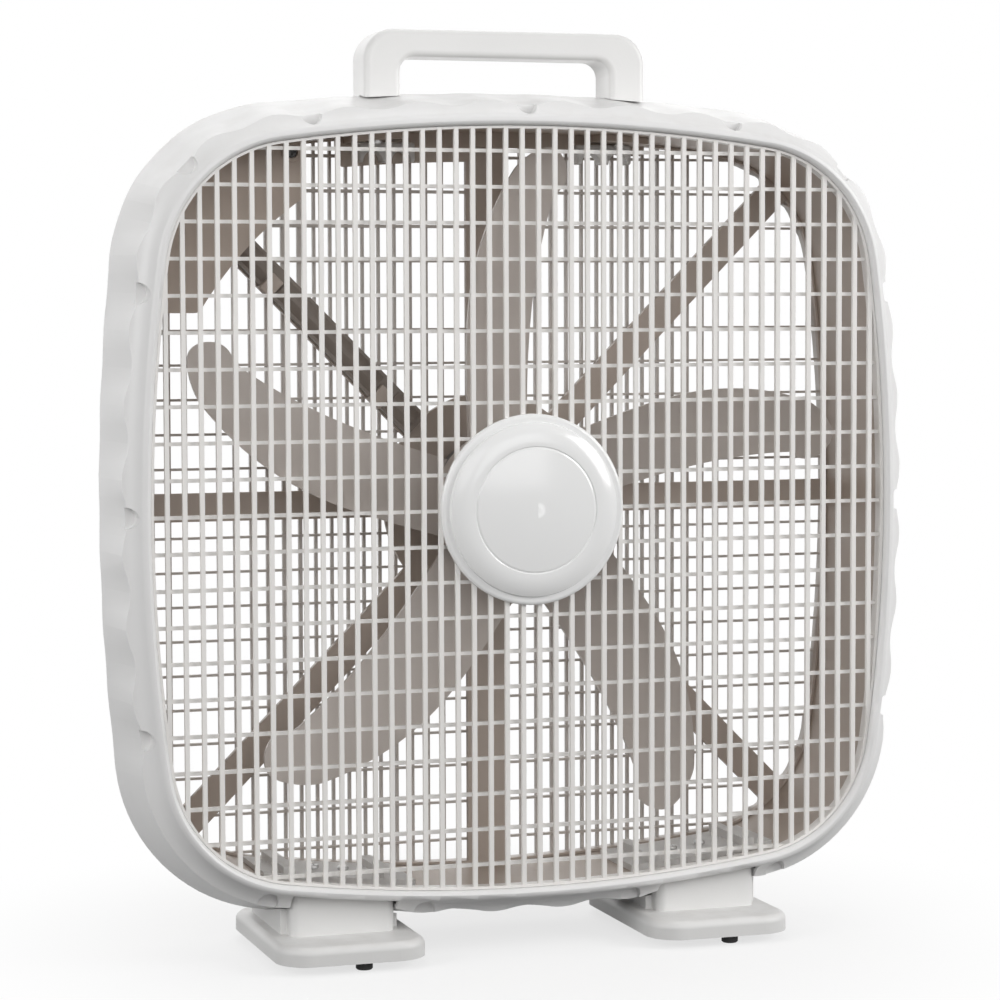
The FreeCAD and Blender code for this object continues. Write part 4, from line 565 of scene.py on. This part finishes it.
class Workpiece:
    """A new piece that starts as a bmesh and ends as an object at the origin.

    Attributes:
        ON_PLANE: points nearer to a cut than this are on it.
    """

    BLOCK_SEGMENTS = 3
    RIDGE_SEGMENTS = 2
    RIDGE_EDGE = 0.3 * MM
    CORNER_SEGMENTS = 6
    ON_PLANE = 1e-7

    def __init__(self, name: str) -> None:
        """Start an empty mesh under the piece's name."""
        self.name = name
        self.mesh = bmesh.new()

    def merge(self) -> None:
        """Merge the points that share a place."""
        bmesh.ops.remove_doubles(self.mesh, verts=self.mesh.verts, dist=MERGE)

    def turned(self, profile: Iterable[tuple[float, float]], centre: Vector,
               steps: int = 48) -> None:
        """Spin a profile round an axis along the depth.

        Args:
            profile: (radius, place along the depth) in metres, the first and last on the axis.
            centre: point of the axis.
            steps: parts of the full turn.
        """
        line = [self.mesh.verts.new(centre + Vector((radius, depth, 0.0)))
                for radius, depth in profile]
        edges = [self.mesh.edges.new(pair) for pair in zip(line, line[1:])]
        bmesh.ops.spin(self.mesh, geom=line + edges, cent=centre, axis=(0.0, 1.0, 0.0),
                       angle=math.tau, steps=steps, use_merge=True)
        self.merge()
        bmesh.ops.recalc_face_normals(self.mesh, faces=self.mesh.faces)

    def _round(self, edges: Iterable[bmesh.types.BMEdge], radius: float, segments: int) -> None:
        """Round edges off."""
        bmesh.ops.bevel(self.mesh, geom=list(edges), offset=radius, offset_type="OFFSET",
                        segments=segments, profile=0.5, affect="EDGES", material=-1)

    @staticmethod
    def _edges(verts: Iterable[bmesh.types.BMVert]) -> list[bmesh.types.BMEdge]:
        """The edges at these points, each of them once."""
        return list(dict.fromkeys(edge for vert in verts for edge in vert.link_edges))

    def block(self, low: Vector, high: Vector, round_edge: float,
              turn: Matrix = Matrix.Identity(4)) -> None:
        """Add a block with round edges.

        Args:
            low: lowest corner.
            high: highest corner.
            round_edge: radius of the edges.
            turn: turns and moves the block at the end.
        """
        cube = bmesh.ops.create_cube(self.mesh, size=1.0, matrix=turn @ fitted(low, high))
        self._round(self._edges(cube["verts"]), round_edge, self.BLOCK_SEGMENTS)

    def ridge(self, low: Vector, high: Vector, crest: float, turn: Matrix) -> None:
        """Add a block that rises to a narrow crest towards the front.

        Args:
            low: lowest corner.
            high: highest corner.
            crest: width of the crest as a share of the foot's.
            turn: turns and moves the block at the end.
        """
        cube = bmesh.ops.create_cube(self.mesh, size=1.0)
        front = [vert for vert in cube["verts"] if vert.co.y < 0.0]
        bmesh.ops.scale(self.mesh, vec=(1.0, 1.0, crest), verts=front)
        bmesh.ops.transform(self.mesh, verts=cube["verts"], matrix=turn @ fitted(low, high))
        self._round(self._edges(cube["verts"]), self.RIDGE_EDGE, self.RIDGE_SEGMENTS)

    def plate(self, low: Vector, high: Vector, corner: float, bow: float, cuts: int = 14) -> None:
        """Add an upright plate with round lower corners, bent to the bow of the duct's top.

        Args:
            low: lowest corner.
            high: highest corner.
            corner: radius of the two lower corners.
            bow: radius of the bow.
            cuts: parts that the plate is cut into, so that it can bend.
        """
        cube = bmesh.ops.create_cube(self.mesh, size=1.0, matrix=fitted(low, high))
        middle = (high + low) / 2
        below = []
        for edge in self._edges(cube["verts"]):
            first, second = (vert.co for vert in edge.verts)
            if max(first.z, second.z) < middle.z and abs(first.x - second.x) < MERGE:
                below.append(edge)
        self._round(below, corner, self.CORNER_SEGMENTS)
        for step in range(1, cuts):
            across = low.x + (high.x - low.x) * step / cuts
            everything = self.mesh.verts[:] + self.mesh.edges[:] + self.mesh.faces[:]
            bmesh.ops.bisect_plane(self.mesh, geom=everything, plane_co=(across, 0.0, 0.0),
                                   plane_no=(1.0, 0.0, 0.0), dist=self.ON_PLANE)
        for vert in self.mesh.verts:
            vert.co.z -= vert.co.x ** 2 / (2 * bow)

    def as_mesh(self) -> bpy.types.Mesh:
        """The shape as it is now, in a mesh of its own."""
        data = bpy.data.meshes.new(self.name)
        self.mesh.to_mesh(data)
        return data

    def cut(self, tool: "Workpiece") -> None:
        """Cut another workpiece's shape out of this one.

        Args:
            tool: the shape that is cut out, used up by the cut.
        """
        body, cutter = (link_object(piece.name, piece.as_mesh()) for piece in (self, tool))
        change = body.modifiers.new("cut", "BOOLEAN")
        change.operation = "DIFFERENCE"
        change.object = cutter
        shown = body.evaluated_get(bpy.context.evaluated_depsgraph_get())
        shape = bpy.data.meshes.new_from_object(shown)
        self.mesh.clear()
        self.mesh.from_mesh(shape)
        for passing in (body, cutter):
            bpy.data.objects.remove(passing)
        tool.mesh.free()

    def repeated(self, template: bpy.types.Mesh, places: Iterable[Matrix]) -> None:
        """Add a copy of a mesh at each place."""
        for place in places:
            before = len(self.mesh.verts)
            self.mesh.from_mesh(template)
            self.mesh.verts.ensure_lookup_table()
            bmesh.ops.transform(self.mesh, matrix=place, verts=self.mesh.verts[before:])

    def finish(self, body: Body, material: bpy.types.Material, slot: str) -> bpy.types.Object:
        """Make the object, give it its finish and let it ride on a body.

        Args:
            body: the body that it moves with.
            material: its finish.
            slot: the record's slot for that finish; not used.

        Returns:
            The finished object.
        """
        data = self.as_mesh()
        self.mesh.free()
        carried_normals = data.attributes.get("custom_normal")
        if carried_normals:
            data.attributes.remove(carried_normals)
        data.polygons.foreach_set("use_smooth", [True] * len(data.polygons))
        data.set_sharp_from_angle(angle=SHARP_ANGLE)
        data.materials.append(material)
        made = link_object(self.name, data)
        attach(made, body.value)
        LOG.info("%s built, %d faces", self.name, len(data.polygons))
        return made


class HeadTowards(Enum):
    """The way that a screw's head looks.

    Each value has the turn about X that brings it there, the number of the axis that the
    screw lies along, and which way along that axis is outwards.
    """

    TAUPE_LIT = (0.0, 1, 1.0)
    UP = (math.pi / 2, 2, 1.0)
    DOWN = (-math.pi / 2, 2, -1.0)
    FRONT = (math.pi, 1, -1.0)


@dataclass(frozen=True)
class CrossScrew:
    """A pan-head screw with a cross recess.

    Attributes:
        head: radius of the head.
        rise: height of the head.
        shank: radius of the shank.
        length: length of the shank.
        arm: reach of an arm of the recess.
        arm_width: width of an arm.
        arm_edge: radius of an arm's edges.
        depth: depth of the recess.
        point: outline of the point, as shares of the shank's radius and length.
        dome: outline of the head, as shares of its radius and height.
        steps: parts of a full turn.
    """

    head: float = 3.6 * MM
    rise: float = 2.4 * MM
    shank: float = 1.9 * MM
    length: float = 20.0 * MM
    arm: float = 2.2 * MM
    arm_width: float = 1.0 * MM
    arm_edge: float = 0.15 * MM
    depth: float = 1.5 * MM
    point: tuple[Span, ...] = ((0.0, 1.0), (0.3, 1.0), (1.0, 0.88), (1.0, 0.0))
    dome: tuple[Span, ...] = ((1.0, 0.0), (1.0, 0.5), (0.93, 0.74), (0.75, 0.91), (0.4, 0.99),
                              (0.0, 1.0))
    steps: int = 32

    def template(self) -> bpy.types.Mesh:
        """Make one screw's mesh at the origin, its head towards the rear."""
        outline = [(across * self.shank, -along * self.length) for across, along in self.point]
        outline += [(across * self.head, along * self.rise) for across, along in self.dome]
        work = Workpiece("screw")
        work.turned(outline, Vector(), self.steps)
        floor, above = self.rise - self.depth, self.rise + 1.0 * MM
        half = self.arm_width / 2
        for reach, width in ((self.arm, half), (half, self.arm)):
            tool = Workpiece("arm")
            tool.block(Vector((-reach, floor, -width)), Vector((reach, above, width)),
                       self.arm_edge)
            work.cut(tool)
        made = work.as_mesh()
        work.mesh.free()
        return made

    def place(self, box: Box, way: HeadTowards) -> Matrix:
        """Where a screw goes that fills a box.

        Args:
            box: lowest and highest corner of the screw's solid.
            way: the way that the head looks.

        Returns:
            The matrix that takes the template there.
        """
        turn, along, outward = way.value
        low, high = box
        seat = (low + high) / 2
        end = high if outward > 0.0 else low
        seat[along] = end[along] - outward * self.rise
        return Matrix.Translation(seat) @ Matrix.Rotation(turn, 4, "X")


def solid_boxes(node: str, along: int, reach: float = 9.0 * MM) -> list[Box]:
    """Boxes round the screws of a node.

    Args:
        node: name of the node.
        along: number of the axis that the screws lie along.
        reach: points nearer than this across that axis belong to one screw.

    Returns:
        Lowest and highest corner of each screw.
    """
    groups: list[list[Vector]] = []
    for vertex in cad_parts[node].data.vertices:
        for group in groups:
            gap = vertex.co - group[0]
            gap[along] = 0.0
            if gap.length < reach:
                group.append(vertex.co)
                break
        else:
            groups.append([vertex.co])
    return [tuple(Vector(pick(point[axis] for point in group) for axis in range(3))
                  for pick in (min, max)) for group in groups]


def build_screws(node: str, way: HeadTowards, shelf: FinishShelf) -> None:
    """Put recessed screws in the place of a node's plain ones.

    Args:
        node: the node that they stand for.
        way: the way that the heads look.
        shelf: where the finish comes from.
    """
    screw = CrossScrew()
    _, along, _ = way.value
    work = Workpiece(f"{node}_recessed")
    work.repeated(screw.template(), [screw.place(box, way) for box in solid_boxes(node, along)])
    made = work.finish(Body.HOUSING, shelf.get(STEEL), "steel")
    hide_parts(node)


@dataclass
class FrontHousing:
    """White shell, front grille and cap."""

    shelf: FinishShelf

    def build(self) -> None:
        """Give the three mouldings their finishes."""
        self.shelf.dress(SHELL, "front_shell")
        self.shelf.dress(GRILLE, "front_grille")
        self.shelf.dress(CAP, "hub_cap")


@dataclass(frozen=True)
class BarLayer:
    """A layer of parallel bars of the rear grille, and how its bars are set finer.

    Attributes:
        across: number of the axis across the bars.
        middle: middle of the grille on that axis.
        pitch: spacing of the bars in the solid.
        start: where a bar next to the middle is, from the middle.
        planes: depths of the faces that hold this layer's points alone.
        shift: how far a bar in the middle moves.
        closer: share of its distance from the middle that a bar comes nearer.
        fade: distances from the middle over which the move dies away.
        slim: share of a bar's width that is kept.
        near: how far a point may lie off its plane or line.
        shortest: edges along the depth that are longer than this are a bar's.
    """

    across: int
    middle: float
    pitch: float
    start: float
    planes: tuple[float, ...]
    shift: float
    closer: float
    fade: Span
    slim: float = 0.7
    near: float = 0.02 * MM
    shortest: float = 1.0 * MM

    def points(self, mesh: bmesh.types.BMesh) -> set[bmesh.types.BMVert]:
        """Find the points of the layer's bars.

        Args:
            mesh: the grille's mesh.

        Returns:
            The points on the layer's planes and those straight behind them.
        """
        found = {vert for vert in mesh.verts
                 if any(abs(vert.co.y - plane) < self.near for plane in self.planes)}
        behind = set()
        for edge in {edge for vert in found for edge in vert.link_edges}:
            run = edge.verts[1].co - edge.verts[0].co
            if abs(run.y) > self.shortest and math.hypot(run.x, run.z) < self.near:
                behind.update(edge.verts)
        return found | behind

    def set_finer(self, mesh: bmesh.types.BMesh, panel: tuple[float, float]) -> None:
        """Make the layer's bars slimmer and move them to their places.

        Args:
            mesh: the grille's mesh.
            panel: side and height past which the switch panel keeps its points.
        """
        near, far = self.fade
        side, height = panel
        for vert in self.points(mesh):
            if vert.co.x < side and vert.co.z > height:
                continue
            place = vert.co[self.across] - self.middle
            bar = self.start + self.pitch * round((place - self.start) / self.pitch)
            share = min(max((far - abs(bar)) / (far - near), 0.0), 1.0)
            moved = bar + share * (self.shift - self.closer * bar)
            vert.co[self.across] = self.middle + moved + self.slim * (place - bar)


@dataclass
class RearHousing:
    """Taupe duct, rear grille, corner box and the screws of the shell.

    Attributes:
        shelf: where the finishes come from.
        uprights: the upright bars of the rear grille.
        levels: its level bars.
        panel: right side and lower edge of the switch panel's corner.
        channel_turn: angle of the wire channel about the wheel's axis.
        lid_width: width of the wire channel's lids.
        lid_rise: height of their ridge.
        lid_sink: how far they sink into the channel.
        lid_crest: width of the ridge's crest as a share of a lid's.
        lid_runs: where each lid starts and ends, from the wheel's axis outwards.
        clip_places: where the clips sit on the channel.
        clip_low: lowest corner of a clip, from its place on the channel's front.
        clip_high: its highest corner.
        clip_edge: radius of its edges.
        boss_place: middle of the corner box's screw, on the box's front.
        boss_outline: radii and depths of the boss and the well in it.
        box_screw: the screw in the boss.
    """

    shelf: FinishShelf
    uprights: BarLayer = BarLayer(
        across=0, middle=0.0, pitch=11.0 * MM, start=5.5 * MM, planes=(52.5 * MM,),
        shift=-1.6 * MM, closer=0.005, fade=(0.205, 0.237))
    levels: BarLayer = BarLayer(
        across=2, middle=AXIS_HEIGHT, pitch=22.8 * MM, start=0.0, planes=(49.45 * MM, 52.45 * MM),
        shift=2.1 * MM, closer=0.014, fade=(0.185, 0.228))
    panel: tuple[float, float] = (-0.120, AXIS_HEIGHT + 0.110)
    channel_turn: float = math.radians(-135)
    lid_width: float = 15.0 * MM
    lid_rise: float = 3.0 * MM
    lid_sink: float = 0.3 * MM
    lid_crest: float = 0.2
    lid_runs: tuple[Span, ...] = ((0.076, 0.097), (0.111, 0.201), (0.2135, 0.2365))
    clip_places: tuple[float, float] = (0.104, 0.2073)
    clip_low: Point = (-5.0 * MM, -3.8 * MM, -2.5 * MM)
    clip_high: Point = (5.0 * MM, 5.0 * MM, 11.0 * MM)
    clip_edge: float = 0.8 * MM
    boss_place: Point = (-0.147, -0.0085, AXIS_HEIGHT + 0.2273)
    boss_outline: tuple[Span, ...] = (
        (0.0, 0.0), (6.2 * MM, 0.0), (6.2 * MM, -1.2 * MM), (5.8 * MM, -1.6 * MM),
        (4.3 * MM, -1.6 * MM), (4.0 * MM, -0.2 * MM), (0.0, -0.2 * MM))
    box_screw: CrossScrew = CrossScrew(length=2.0 * MM, rise=1.8 * MM)

    def build(self) -> None:
        """Give the taupe mouldings their finishes and screw them together."""
        self.shelf.dress(TAUPE, "rear_housing", "control_box")
        self.shelf.dress(CHANNEL, "wire_channel")
        self.shelf.dress(SWITCH, "cord_gland")
        build_screws("shell_screws", HeadTowards.TAUPE_LIT, self.shelf)
        self.build_grille()
        self.build_channel_lids()
        self.build_box_screw()

    def build_grille(self) -> None:
        """Set the bars of the rear grille finer than its solid has them."""
        grille = Workpiece("rear_grille_fine")
        grille.mesh.from_mesh(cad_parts["rear_grille"].data)
        grille.merge()
        for layer in (self.uprights, self.levels):
            layer.set_finer(grille.mesh, self.panel)
        made = grille.finish(Body.HOUSING, self.shelf.get(TAUPE_LIT), "taupe")
        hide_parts("rear_grille")

    def build_channel_lids(self) -> None:
        """Lay the ridged lids on the wire channel and put the clips that hold them across it."""
        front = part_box("wire_channel")[0].y
        half = self.lid_width / 2
        turn = Matrix.Translation(above_axis(0.0, 0.0, 0.0)) @ Matrix.Rotation(
            self.channel_turn, 4, "Y")
        lids = Workpiece("channel_lids")
        for start, end in self.lid_runs:
            lids.ridge(Vector((start, front - self.lid_rise, -half)),
                       Vector((end, front + self.lid_sink, half)), self.lid_crest, turn)
        lids.finish(Body.HOUSING, self.shelf.get(CHANNEL), "channel_grey")
        clips = Workpiece("channel_clips")
        for along in self.clip_places:
            place = Vector((along, front, 0.0))
            clips.block(place + Vector(self.clip_low), place + Vector(self.clip_high),
                        self.clip_edge, turn)
        clips.finish(Body.HOUSING, self.shelf.get(TAUPE_LIT), "taupe")

    def build_box_screw(self) -> None:
        """Raise a boss on the corner box and put a screw into it."""
        centre = Vector(self.boss_place)
        boss = Workpiece("box_boss")
        boss.turned(self.boss_outline, centre)
        boss.finish(Body.HOUSING, self.shelf.get(TAUPE), "taupe")
        turn, _, _ = HeadTowards.FRONT.value
        head = Workpiece("box_screw")
        head.repeated(self.box_screw.template(),
                      [Matrix.Translation(centre) @ Matrix.Rotation(turn, 4, "X")])
        head.finish(Body.HOUSING, self.shelf.get(BLACK_STEEL), "motor_steel")


@dataclass
class Motor:
    """Motor behind the wheel, with its leads."""

    shelf: FinishShelf

    def build(self) -> None:
        """Give the motor's parts their metals."""
        self.shelf.dress(MOTOR_STEEL, "motor_front_bell", "motor_rear_bell")
        self.shelf.dress(LAMINATION, "stator_core", "rotor_core")
        self.shelf.dress(COPPER, "winding_front", "winding_rear")
        self.shelf.dress(BRONZE, "bearing_front", "bearing_rear")
        self.shelf.dress(STEEL, "shaft", "motor_screws")
        self.shelf.dress(LEAD, "motor_leads")


@dataclass
class Wheel:
    """Five-bladed wheel and its nut."""

    shelf: FinishShelf

    def build(self) -> None:
        """Give the wheel and its nut their finishes."""
        self.shelf.dress(BLADE, "fan_blade")
        self.shelf.dress(STEEL, "blade_nut")


@dataclass
class CarryHandle:
    """Carry handle with its clips and screws, and the bracket and latches under the duct's top.

    Heights are above the wheel's axis.

    Attributes:
        shelf: where the finishes come from.
        bow: radius of the duct's top.
        bracket: lowest and highest corner of the bracket, just inside the duct's top.
        bracket_corner: radius of its lower corners.
        tab: lowest and highest corner of the tab that hangs from the bracket.
        tab_corner: radius of its lower corners.
        latch_middle: how far a latch's middle is from the middle of the fan.
        latch_width: width of a latch.
        latch_depths: front of a latch, clear of the screw, and its rear at the bracket.
        latch_rises: heights of its lower and upper edge.
        latch_edge: radius of its edges.
        arch: radius of the two arches in a latch.
        arch_lift: how far an arch's middle is above the lower edge.
        arch_tool: half the length of the tool that cuts an arch.
    """

    shelf: FinishShelf
    bow: float = 1.138
    bracket: tuple[Point, Point] = ((-107.0 * MM, 33.8 * MM, 233.8 * MM),
                                    (107.0 * MM, 36.3 * MM, 244.5 * MM))
    bracket_corner: float = 5.0 * MM
    tab: tuple[Point, Point] = ((-106.0 * MM, 34.0 * MM, 224.5 * MM),
                                (-12.0 * MM, 36.1 * MM, 236.8 * MM))
    tab_corner: float = 6.0 * MM
    latch_middle: float = 75.0 * MM
    latch_width: float = 38.0 * MM
    latch_depths: Span = (22.5 * MM, 33.8 * MM)
    latch_rises: Span = (223.0 * MM, 236.0 * MM)
    latch_edge: float = 1.6 * MM
    arch: float = 6.6 * MM
    arch_lift: float = 0.66 * MM
    arch_tool: float = 20.0 * MM

    def build(self) -> None:
        """Dress the handle and its clips, screw them on, and hang the bracket and latches."""
        self.shelf.dress(HANDLE, "handle")
        self.shelf.dress(TAUPE, "handle_clip_left", "handle_clip_right")
        build_screws("handle_screws", HeadTowards.DOWN, self.shelf)
        self.hang_plate("handle_bracket", self.bracket, self.bracket_corner)
        self.hang_plate("handle_bracket_tab", self.tab, self.tab_corner)
        for side, name in ((-1, "left"), (1, "right")):
            self.build_latch(side * self.latch_middle, name)

    def hang_plate(self, name: str, ends: tuple[Point, Point], corner: float) -> None:
        """Hang a bowed plate under the duct's top.

        Args:
            name: the piece's name.
            ends: its lowest and highest corner.
            corner: radius of its lower corners.
        """
        low, high = (above_axis(*end) for end in ends)
        hung = Workpiece(name)
        hung.plate(low, high, corner, self.bow)
        hung.finish(Body.HOUSING, self.shelf.get(TAUPE), "taupe")

    def build_latch(self, middle: float, name: str) -> None:
        """Build a latch with two arches that holds the handle's leg.

        Args:
            middle: place of its middle across the fan.
            name: the side's name.
        """
        half = self.latch_width / 2
        front, rear = self.latch_depths
        low, high = self.latch_rises
        latch = Workpiece(f"handle_latch_{name}")
        latch.block(above_axis(middle - half, front, low), above_axis(middle + half, rear, high),
                    self.latch_edge)
        for across in (middle - half / 2, middle + half / 2):
            tool = Workpiece("arch")
            tool.turned(((0.0, -self.arch_tool), (self.arch, -self.arch_tool),
                         (self.arch, self.arch_tool), (0.0, self.arch_tool)),
                        above_axis(across, (front + rear) / 2, low + self.arch_lift))
            latch.cut(tool)
        latch.finish(Body.HOUSING, self.shelf.get(CLIP), "foot_white")


@dataclass
class Feet:
    """Two feet with their clips, screws and rubber pads."""

    shelf: FinishShelf

    def build(self) -> None:
        """Give the feet and what is on them their finishes and screw them together."""
        self.shelf.dress(FOOT, "foot_left", "foot_right")
        self.shelf.dress(CLIP, "foot_clip_left", "foot_clip_right")
        build_screws("foot_screws", HeadTowards.UP, self.shelf)
        self.shelf.dress(PAD, "foot_pads")


@dataclass
class SpeedControl:
    """Speed switch, its knob and marks, and the capacitor beside it.

    Attributes:
        shelf: where the finishes come from.
        mark_circle: radius of the circle that the marks stand on.
        mark_rise: height of a mark.
        mark_sink: how far a mark reaches into the panel.
        bar_size: length and width of the mark for off.
        bar_edge: radius of its edges.
        dots: radii of the marks for the three speeds.
        dot_dome: outline of a dot, as shares of its radius and height.
        dot_steps: parts of a dot's full turn.
        step: angle from one detent to the next.
        line_size: length and width of the line on the knob.
        line_end: how far the line's end is from the knob's rim.
        line_sink: how far the line reaches into the knob.
        line_rise: how far it stands out.
        line_edge: radius of its edges.
    """

    shelf: FinishShelf
    mark_circle: float = 23.5 * MM
    mark_rise: float = 0.6 * MM
    mark_sink: float = 0.2 * MM
    bar_size: tuple[float, float] = (4.0 * MM, 1.4 * MM)
    bar_edge: float = 0.25 * MM
    dots: tuple[float, float, float] = (0.9 * MM, 1.3 * MM, 1.7 * MM)
    dot_dome: tuple[Span, ...] = ((1.0, 0.5), (0.7, 0.9), (0.0, 1.0))
    dot_steps: int = 24
    step: float = math.radians(45)
    line_size: tuple[float, float] = (9.0 * MM, 1.3 * MM)
    line_end: float = 3.5 * MM
    line_sink: float = 0.3 * MM
    line_rise: float = 0.15 * MM
    line_edge: float = 0.12 * MM

    def build(self) -> None:
        """Give the switch and its knob their finishes and mark the speeds."""
        self.shelf.dress(KNOB, "knob")
        self.shelf.dress(SWITCH, "switch_body", "switch_stem", "capacitor")
        self.shelf.dress(STEEL, "switch_nut")
        self.build_marks()
        self.build_line()

    def build_marks(self) -> None:
        """Raise a bar for off and three growing dots for the speeds on the rear panel."""
        low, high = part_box("knob")
        centre = (low + high) / 2
        centre.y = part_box("rear_grille")[1].y
        up = Vector((0.0, 0.0, self.mark_circle))
        length, width = self.bar_size
        marks = Workpiece("speed_marks")
        marks.block(centre + up + Vector((-width / 2, -self.mark_sink, -length / 2)),
                    centre + up + Vector((width / 2, self.mark_rise, length / 2)), self.bar_edge)
        for number, radius in enumerate(self.dots, 1):
            turn = Matrix.Rotation(-number * self.step, 3, "Y")
            outline = [(0.0, -self.mark_sink), (radius, -self.mark_sink)]
            outline += [(across * radius, rise * self.mark_rise) for across, rise in self.dot_dome]
            marks.turned(outline, centre + turn @ up, self.dot_steps)
        marks.finish(Body.HOUSING, self.shelf.get(MARK), "switch_black")

    def build_line(self) -> None:
        """Inlay a line on the knob's grip, which points at the mark."""
        low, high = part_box("knob")
        middle = (low + high) / 2
        length, width = self.line_size
        end = high.z - self.line_end
        line = Workpiece("knob_line")
        line.block(Vector((middle.x - width / 2, high.y - self.line_sink, end - length)),
                   Vector((middle.x + width / 2, high.y + self.line_rise, end)), self.line_edge)
        line.finish(Body.SELECTOR, self.shelf.get(MARK), "switch_black")


@dataclass(frozen=True)
class Lamp:
    """A soft square lamp that the camera doesn't see.

    Attributes:
        name: the lamp's name.
        place: where it hangs, in metres.
        side: side of its face.
        power: power in watts.
        target: the point near the middle of the fan that it is aimed at.
    """

    name: str
    place: Point
    side: float
    power: float
    target: Point = (0.0, 0.0, 0.28)

    def hang(self) -> None:
        """Hang the lamp and aim it."""
        data = bpy.data.lights.new(self.name, "AREA")
        data.shape = "SQUARE"
        data.size = self.side
        data.energy = self.power
        made = link_object(self.name, data)
        made.location = self.place
        aim = Vector(self.target) - Vector(self.place)
        made.rotation_euler = aim.to_track_quat("-Z", "Y").to_euler()
        made.visible_camera = False


LAMPS = (
    Lamp("front", (0.4, -2.5, 1.0), side=1.2, power=11.5),
    Lamp("front_left", (-1.0, -2.1, 1.2), side=1.2, power=9.5),
    Lamp("left", (-2.0, -0.7, 1.0), side=1.2, power=20.0),
    Lamp("right", (1.85, -1.15, 1.1), side=1.2, power=34.0),
    Lamp("above", (0.0, 0.6, 2.2), side=1.6, power=11.0),
    Lamp("behind", (0.0, 1.8, 0.7), side=2.4, power=18.0),
)


@dataclass
class Studio:
    """Floor, lamps, white surroundings and camera.

    Attributes:
        shelf: where the floor's finish comes from.
        eye: place of the camera in metres.
        tilt: how far it looks down, in radians.
        turn: how far it looks round, in radians.
        roll: how far it leans about its own line of sight.
        lens: focal length in millimetres.
        sensor: width of the sensor in millimetres.
        sight: how far the camera sees.
        floor_side: side of the floor.
        ambient: strength of the light from all round.
    """

    shelf: FinishShelf
    eye: Point = (-0.619947, -1.874802, AXIS_HEIGHT + 0.133903)
    tilt: float = 0.0661455
    turn: float = -0.3163657
    roll: float = -0.0033035
    lens: float = 108.947
    sensor: float = 36.0
    sight: float = 200.0
    floor_side: float = 60.0
    ambient: float = 0.12

    def place_camera(self) -> None:
        """Set up the camera of the main view."""
        data = bpy.data.cameras.new("camera")
        data.lens = self.lens
        data.sensor_width = self.sensor
        data.clip_end = self.sight
        made = link_object("camera", data)
        made.location = self.eye
        level = Euler((math.pi / 2 - self.tilt, 0.0, self.turn)).to_matrix()
        made.rotation_euler = (level @ Matrix.Rotation(self.roll, 3, "Z")).to_euler()
        bpy.context.scene.camera = made

    def lay_floor(self) -> None:
        """Lay the floor that the fan stands on."""
        ground = Workpiece("floor")
        bmesh.ops.create_grid(ground.mesh, x_segments=2, y_segments=2, size=self.floor_side / 2)
        data = ground.as_mesh()
        ground.mesh.free()
        data.materials.append(self.shelf.get(FLOOR))
        made = link_object(ground.name, data)

    def light(self) -> None:
        """Hang the lamps and surround the fan with soft white light."""
        for lamp in LAMPS:
            lamp.hang()
        world = bpy.data.worlds.new("white_room")
        sheet = NodeSheet(world)
        around, white = (sheet.node("ShaderNodeBackground", {}, {"Color": WHITE, "Strength": power})
                         for power in (self.ambient, 1.0))
        shown = sheet.node("ShaderNodeMixShader", {}, {0: sheet.seen(), 1: around, 2: white})
        sheet.node("ShaderNodeOutputWorld", {}, {"Surface": shown})
        bpy.context.scene.world = world
        bpy.context.scene.view_settings.view_transform = "Standard"

    def build(self) -> None:
        """Set up camera, floor and light."""
        self.place_camera()
        self.lay_floor()
        self.light()


def main() -> None:
    """Build and dress the fan."""
    logging.basicConfig(level=logging.INFO, format="%(name)s: %(message)s")
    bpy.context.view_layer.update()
    shelf = FinishShelf()
    for part in (Studio, FrontHousing, RearHousing, Motor, Wheel, CarryHandle, Feet, SpeedControl):
        part(shelf).build()


if __name__ == "__main__":
    main()
